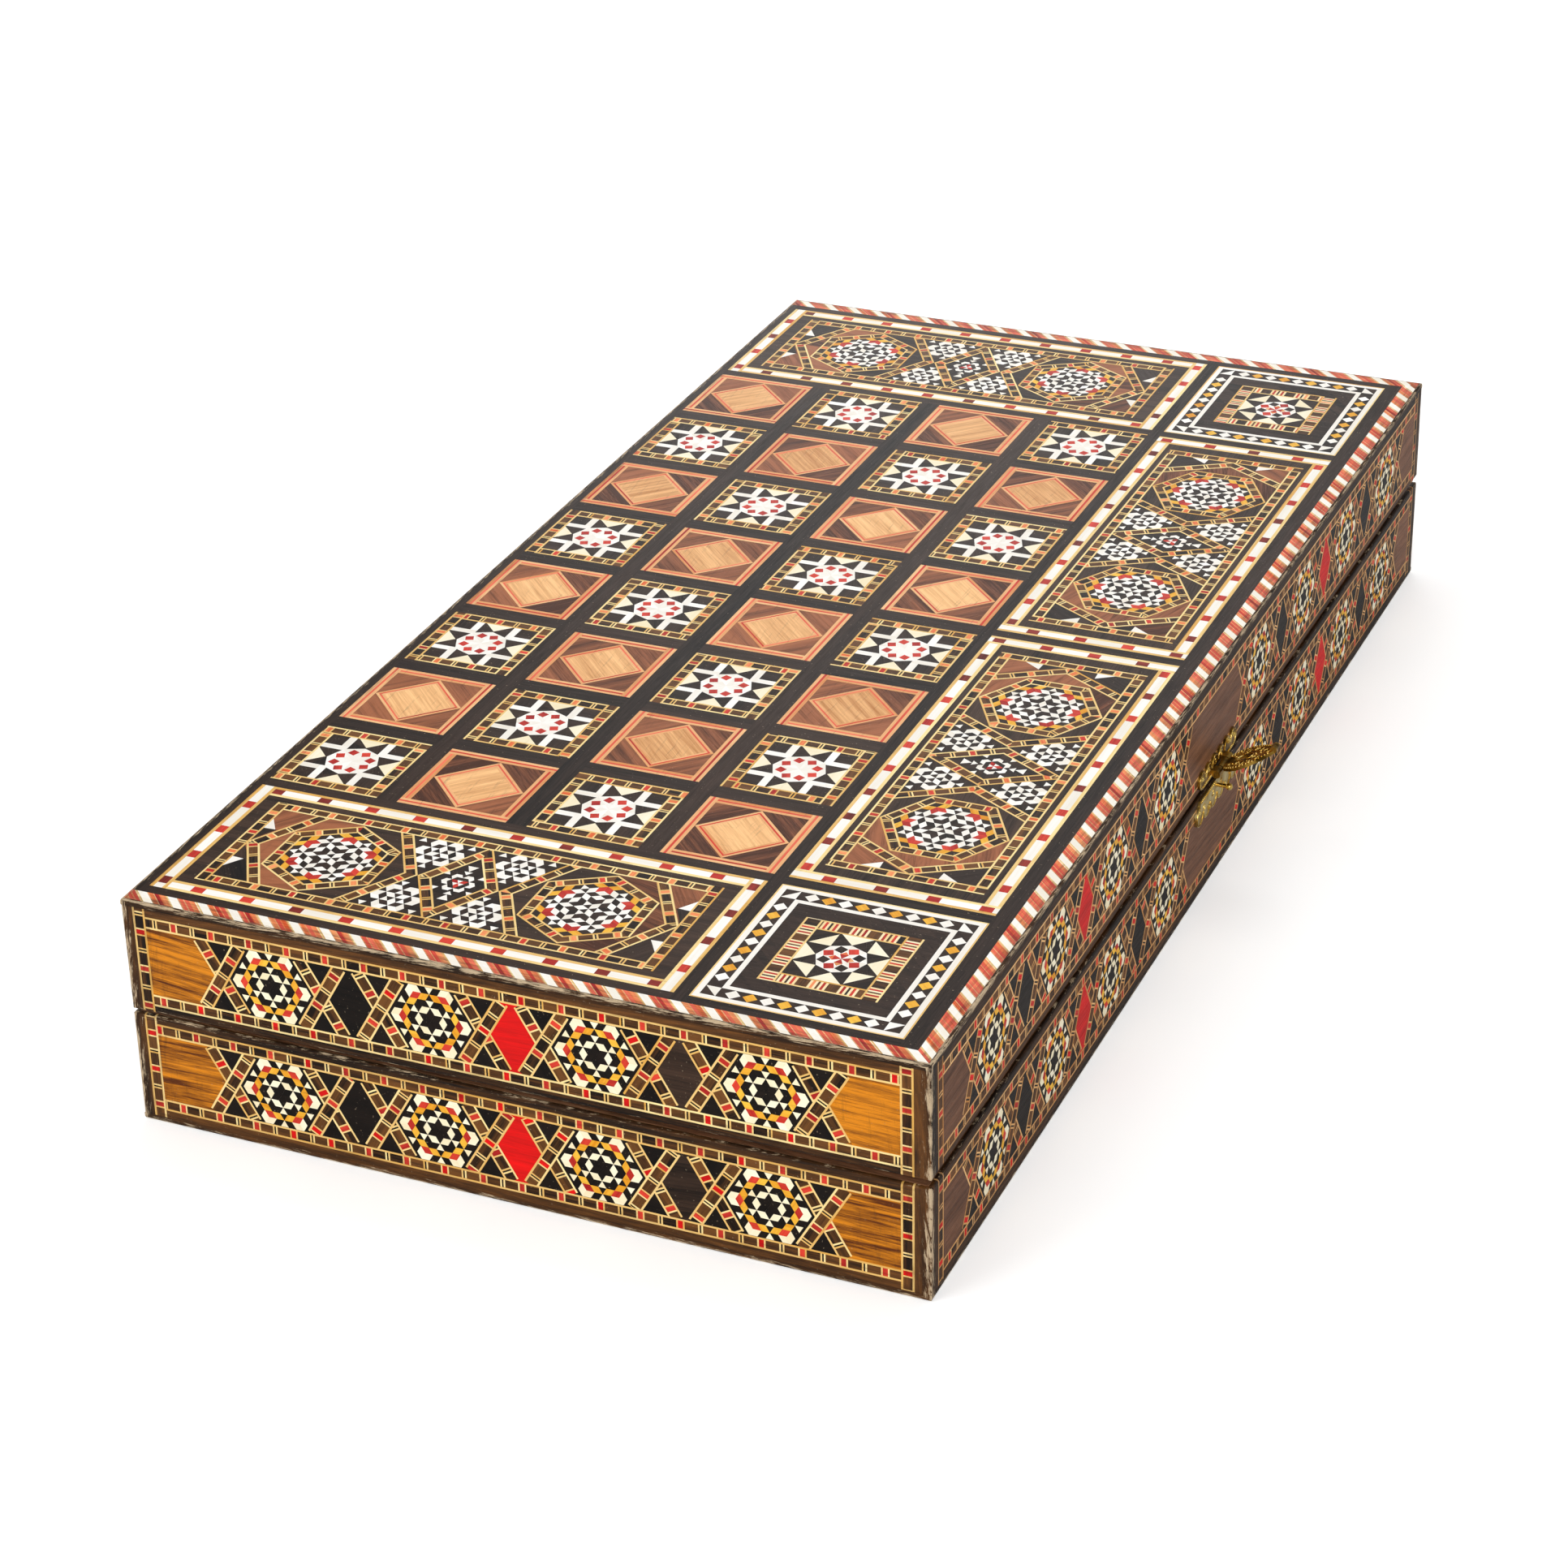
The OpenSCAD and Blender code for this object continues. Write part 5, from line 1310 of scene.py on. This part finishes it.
def lay_tray(tray, star_parity, over, lay_over):
    """Lays every sheet of one tray. Stars stand on the squares of one parity, over is the way that the
    unbroken chains lean on the sides, and lay_over turns the base's places into this tray's."""
    def beds(depth, rims, *sheets):
        """Beds in this tray for sheets with their places in the base."""
        return [(sheet, lay_over(place), depth, rims) for sheet, place in sheets]

    def face(sheet):
        """One bed on the outer face."""
        return beds(face_depth, face_rims, (sheet, on_face))

    def strip(half, ends, run, blocks, stock):
        """One side in the sides' copies of woods; their darker ebony is painted shade."""
        return with_side_copies(side_strip(half, ends, run, blocks, over), stock)

    short = [(strip(half_w, (3, 4), short_run, short_blocks, short_stock), on_front),
             (strip(half_w, (4, 3), short_run, short_blocks[::-1], short_stock), on_back)]
    long = [(strip(half_l, (4, 4), long_run, long_blocks, long_stock), on_clasp),
            (cut(strip(half_l, (3, 3), long_run, long_blocks, long_stock), *leaf_notches), on_hinge)]
    rings = [(hexagons(run), place) for run, place in ((short_run, on_front), (short_run, on_back),
                                                       (long_run, on_clasp), (long_run, on_hinge))]
    plan = [
        ("ground", "ebony_ground", face(ground())),
        ("star_squares", "star_marquetry", face(squares(star_parity, star_square))),
        ("diamond_squares", "diamond_marquetry", face(squares(1 - star_parity, diamond_square))),
        ("border_panels", "border_marquetry", face(in_places(end_panel, end_panel_places)
                                                   + in_places(beside_panel, beside_places))),
        ("border_medallions", "rhombus_mosaic", face(in_places(border_medallion, across_medallions, 90)
                                                     + in_places(border_medallion, along_medallions))),
        ("corner_panels", "corner_marquetry", face(in_places(corner_panel, corner_places))),
        ("edge_banding", "rope_banding", face(banding())),
        ("short_sides", "side_marquetry", beds(side_depth, short_rims, *short)),
        ("long_sides", "side_marquetry", beds(side_depth, long_rims, *long)),
        ("side_medallions", "rhombus_mosaic", beds(side_depth, [], *rings)),
        ("floor", "floor_veneer", beds(floor_depth, [], (floor_sheet(), on_floor))),
        ("points", "point_inlay", beds(floor_depth, [], (points_sheet(), on_floor))),
    ]
    for node, slot, laid in plan:
        lay(f"{tray}_{node}_inlay", laid, [f"{tray}_{node}"], tray, slot)


lay_tray("base", 1, 1, lambda place: place)
lay_tray("lid", 0, -1, in_lid)

# %% [markdown]
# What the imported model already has
#
# The walls, the panels, the hinges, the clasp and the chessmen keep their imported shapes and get
# materials. The walls are beech, seen only at the rims and inside. The fittings are brass: the plate and
# the hasp have a tarnished ground, the strike plate is of a paler sheet, and the nails and the ball are
# rubbed bright. The men are turned from boxwood, half of them stained black.

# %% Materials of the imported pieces
beech = wood("steamed_beech", "#85553a", "#b98862", 0.5, 3.5, grain=(0, 1, 0), coat=0.1, worn="#c9a582")
cross_beech = wood("steamed_beech_crosswise", "#85553a", "#b98862", 0.5, 3.5, grain=(1, 0, 0), coat=0.1,
                   worn="#c9a582")
boxwood = wood("turned_boxwood", "#d9b06a", "#efd39a", 0.5, 4.0, grain=(0, 1, 0), coat=0.4, worn="#efd39a")
ebonised = wood("ebonised_wood", "#15110f", "#2e2622", 0.5, 4.0, grain=(0, 1, 0), coat=0.4, worn="#2e2622")


def brass(name, dull, bright, rough, grit):
    """Brass with bright and dull spots and a grit of fine dents, whose size is in mm."""
    material, tree, shader = new_material(name)
    place = add(tree, "ShaderNodeTexCoord").outputs["Object"]
    stain = add(tree, "ShaderNodeTexNoise", {"Vector": place, "Scale": 1 / (3.5 * mm), "Detail": 4.0})
    grain = add(tree, "ShaderNodeTexNoise", {"Vector": place, "Scale": 1 / (grit * mm), "Detail": 2.0})
    factor = add(tree, "ShaderNodeMapRange", {"Value": stain.outputs[0], "From Min": 0.35,
                                              "From Max": 0.62}).outputs[0]
    colour = add(tree, "ShaderNodeMix", {0: factor, 6: linear(dull), 7: linear(bright)},
                 data_type="RGBA").outputs[2]
    tree.links.new(colour, shader.inputs["Base Color"])
    shader.inputs["Metallic"].default_value = 1.0
    sheen = add(tree, "ShaderNodeMapRange", {"Value": factor, "To Min": rough + 0.15, "To Max": rough})
    tree.links.new(sheen.outputs[0], shader.inputs["Roughness"])
    relief = add(tree, "ShaderNodeBump", {"Height": grain.outputs[0], "Strength": 0.3,
                                          "Distance": 0.05 * mm})
    tree.links.new(relief.outputs[0], shader.inputs["Normal"])
    return material


clasp_brass = brass("stamped_brass_ground", "#4a3510", "#c49a44", 0.28, 0.5)
strike_brass = brass("thin_rolled_brass", "#b8974c", "#f6e2a0", 0.3, 0.5)
relief_brass = brass("polished_brass_relief", "#d09c34", "#ffe084", 0.16, 0.5)
plain_brass = brass("drawn_brass", "#7d6438", "#cfae6a", 0.3, 0.4)

for name, node in frame["nodes"].items():
    if name.startswith("white_"):
        finish = boxwood
    elif name.startswith("black_"):
        finish = ebonised
    elif "front_wall" in name or "back_wall" in name:
        finish = cross_beech
    elif "wall" in name or "panel" in name:
        finish = beech
    elif name == "strike_plate":
        finish = strike_brass
    elif "nails" in name or name == "ball_post":
        finish = relief_brass
    elif "clasp" in name or name == "hasp":
        finish = clasp_brass
    else:
        finish = plain_brass
    for material_slot in node.material_slots:
        material_slot.material = finish
print("materials on", len(frame["nodes"]), "packed pieces")

# %% [markdown]
# The clasp's stamped ornament
#
# The clasp was pressed from thin sheet: a scalloped plate on the lid, another on the base, and a leaf that
# drops over the ball. The press raised a fine relief on all three, of half-round wires, C-shaped scrolls
# and pearls, and rubbing has polished it brighter than the ground. Each motif is modelled once on the
# origin, lying on its plate, and copies are carried to their places. Its lower half is sunk in the plate.

# %% The three motifs
wire_r, pearl_r = 0.2 * mm, 0.34 * mm


def edited(*steps):
    """Runs operators on all of the active object in edit mode."""
    bpy.ops.object.mode_set(mode="EDIT")
    bpy.ops.mesh.select_all(action="SELECT")
    for step in steps:
        step()
    bpy.ops.object.mode_set(mode="OBJECT")
    return bpy.context.object


def bent_wire(radius, sweep, steps, curl=1.0):
    """A round wire bent about the origin through an angle that starts at +x. Its far end may curl in."""
    bpy.ops.object.select_all(action="DESELECT")
    bpy.ops.mesh.primitive_circle_add(vertices=8, radius=wire_r, fill_type="NGON",
                                      location=(radius * mm, 0, 0), rotation=(math.pi / 2, 0, 0))
    bpy.ops.object.transform_apply(location=True, rotation=True, scale=True)
    return edited(lambda: bpy.ops.mesh.spin(steps=steps, angle=math.radians(-sweep), center=(0, 0, 0),
                                            axis=(0, 0, 1)),
                  lambda: bpy.ops.transform.resize(value=(curl, curl, curl), center_override=(0, 0, 0)),
                  lambda: bpy.ops.mesh.select_all(action="SELECT"),
                  lambda: bpy.ops.mesh.normals_make_consistent(inside=False))


def pearl():
    """A pearl: a small ball with its underside cut off and its top pressed a little flat."""
    bpy.ops.object.select_all(action="DESELECT")
    bpy.ops.mesh.primitive_uv_sphere_add(segments=10, ring_count=6, radius=pearl_r, location=(0, 0, 0))
    return edited(lambda: bpy.ops.mesh.bisect(plane_co=(0, 0, -pearl_r / 2), plane_no=(0, 0, 1),
                                              threshold=1e-7, clear_inner=True, use_fill=True),
                  lambda: bpy.ops.mesh.select_all(action="SELECT"),
                  lambda: bpy.ops.transform.resize(value=(1, 1, 0.8)))


def assembled(name, motifs, stand, body):
    """One piece from copies of motifs: each motif has a list of (x, y, turn in degrees) on its plate."""
    bpy.ops.object.select_all(action="DESELECT")
    for motif, places in motifs:
        for x, y, turn in places:
            copy = bpy.data.objects.new(name, motif.data.copy())
            bpy.context.scene.collection.objects.link(copy)
            copy.data.transform(stand @ Matrix.Translation((x * mm, y * mm, 0))
                                @ Matrix.Rotation(math.radians(turn), 4, "Z"))
            copy.select_set(True)
            bpy.context.view_layer.objects.active = copy
    bpy.ops.object.join()
    bpy.ops.object.shade_smooth_by_angle(angle=math.radians(50))
    ornament = bpy.context.object
    ornament.name = name
    ornament.data.materials.clear()
    ornament.data.materials.append(relief_brass)
    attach(ornament, body)
    print(name, "has", len(ornament.data.polygons), "faces")


# %% Where the plates lie
clasp_middle, clasp_gap, plate_t, knuckle_r = 2.0, 0.3, 0.6, 1.1
lid_rim = shut_h - rim_z
plate_w, plate_h, strike_w, strike_h = 31.0, 5.4, 34.0, 7.2
# The tip of the lid about its hinge, and the turn that stands a flat motif on the clasp side.
raised = (Matrix.Translation((hinge_x * mm, 0, hinge_z * mm)) @ Matrix.Rotation(-ajar, 4, "Y")
          @ Matrix.Translation((-hinge_x * mm, 0, -hinge_z * mm)))
upright = Matrix(((0, 0, 1, 0), (1, 0, 0, 0), (0, 1, 0, 0), (0, 0, 0, 1)))
plate_x = half_w + plate_t


def at(x, z):
    """A shift to a point in the clasp's middle plane, in mm."""
    return Matrix.Translation(Vector((x, clasp_middle, z)) * mm)


on_lid_plate = raised @ at(plate_x, lid_rim + clasp_gap) @ upright
on_strike_plate = at(plate_x, rim_z - clasp_gap - strike_h) @ upright
hasp_lift, hasp_t = math.radians(27), 0.8
on_hasp = (raised @ at(plate_x + knuckle_r + clasp_gap / 2, lid_rim + clasp_gap + knuckle_r)
           @ Matrix.Rotation(-hasp_lift, 4, "Y") @ Matrix.Translation((0, 0, hasp_t / 2 * mm)))
print("the hasp's pin is at", [round(c / mm, 2) for c in on_hasp @ Vector((0, 0, -hasp_t / 2 * mm))])

# %% Relief on the three plates
hasp_root, hasp_l, hasp_half, widest_at = 1.4, 15.5, 5.8, 0.35
slot_near, slot_far, slot_rim = 5.93, 7.68, 1.55
pearl_pitch, pearl_inset = 0.86, 0.5


def leaf_half(t):
    """Half the hasp's width at a share of its length: less by 0.38 at the root and by 0.74 at the tip."""
    if t < widest_at:
        return hasp_half * (1 - 0.38 * (1 - t / widest_at) ** 2)
    return hasp_half * (1 - 0.74 * ((t - widest_at) / (1 - widest_at)) ** 2)


def pearls_between(start, stop, y):
    """Places of a straight row of pearls."""
    count = round((stop - start) / pearl_pitch)
    return [(start + (stop - start) * k / count, y, 0) for k in range(count + 1)]


# Walk along the leaf's edge in small steps and set a pair of pearls whenever there is room for them.
leaf_pearls, last, steps = [], (-9, 0), 200
for step in range(steps):
    t = 0.03 + step / steps * 0.92
    x, y = hasp_root + t * (hasp_l - hasp_root), leaf_half(t) - pearl_inset
    if math.dist((x, y), last) > pearl_pitch:
        leaf_pearls += [(x, y, 0), (x, -y, 0)]
        last = (x, y)


def scallops(lobe, y, turn):
    """Places of the arcs round six scallops of half width lobe, and of one more at each end."""
    return ([(k * lobe, y, turn) for k in range(-5, 6, 2)]
            + [(-5 * lobe, y, 90), (5 * lobe, y, -90)])


def scallop_pearls(lobe, y):
    """Places of the five pearls between six scallops."""
    return [(k * lobe, y, 0) for k in range(-4, 5, 2)]


plate_lobe, strike_lobe = plate_w / 12, strike_w / 12
plate_lobe_y = plate_h - plate_lobe
one_pearl = pearl()
ring_wire, scroll_wire = bent_wire(1.05, 359.9, 16), bent_wire(1.25, 285, 14, 0.5)
small_scroll, slot_wire = bent_wire(0.75, 280, 10, 0.5), bent_wire(slot_rim, 180, 10)
plate_arc, strike_arc = bent_wire(plate_lobe - 0.42, 180, 10), bent_wire(strike_lobe - 0.42, 180, 10)

assembled("hasp_relief", [
    (one_pearl, leaf_pearls + [(6.2, 3.5, 0), (6.2, -3.5, 0), (10.0, 0, 0), (11.4, 0, 0)]),
    (ring_wire, [(10.54, 2.32, 0), (10.54, -2.32, 0), (13.33, 0, 0)]),
    (scroll_wire, [(6.2, 3.5, 150), (6.2, -3.5, -75)]),
    (small_scroll, [(3.2, 2.6, 60), (3.2, -2.6, 20), (8.6, 3.6, 200), (8.6, -3.6, -120)]),
    (slot_wire, [(slot_near, 0, 90), (slot_far, 0, -90)]),
], on_hasp, "hasp")
assembled("lid_clasp_relief", [
    (one_pearl, pearls_between(-12.6, -6.0, 0.7) + pearls_between(6.0, 12.6, 0.7)
     + scallop_pearls(plate_lobe, plate_lobe_y - 0.1)),
    (plate_arc, scallops(plate_lobe, plate_lobe_y, 0)),
    (small_scroll, [(-plate_lobe, plate_lobe_y + 0.4, 200), (plate_lobe, plate_lobe_y + 0.4, 60)]),
], on_lid_plate, "lid")
assembled("strike_plate_relief", [
    (one_pearl, pearls_between(-13.4, -1.6, strike_h - 0.6) + pearls_between(1.6, 13.4, strike_h - 0.6)
     + scallop_pearls(strike_lobe, strike_lobe + 0.1)),
    (strike_arc, scallops(strike_lobe, strike_lobe, 180)),
    (small_scroll, [(-3.6, 4.4, 200), (3.6, 4.4, 60), (-10.6, 4.0, 20), (10.6, 4.0, 240)]),
], on_strike_plate, "base")
for motif in (one_pearl, ring_wire, scroll_wire, small_scroll, slot_wire, plate_arc, strike_arc):
    bpy.data.objects.remove(motif)
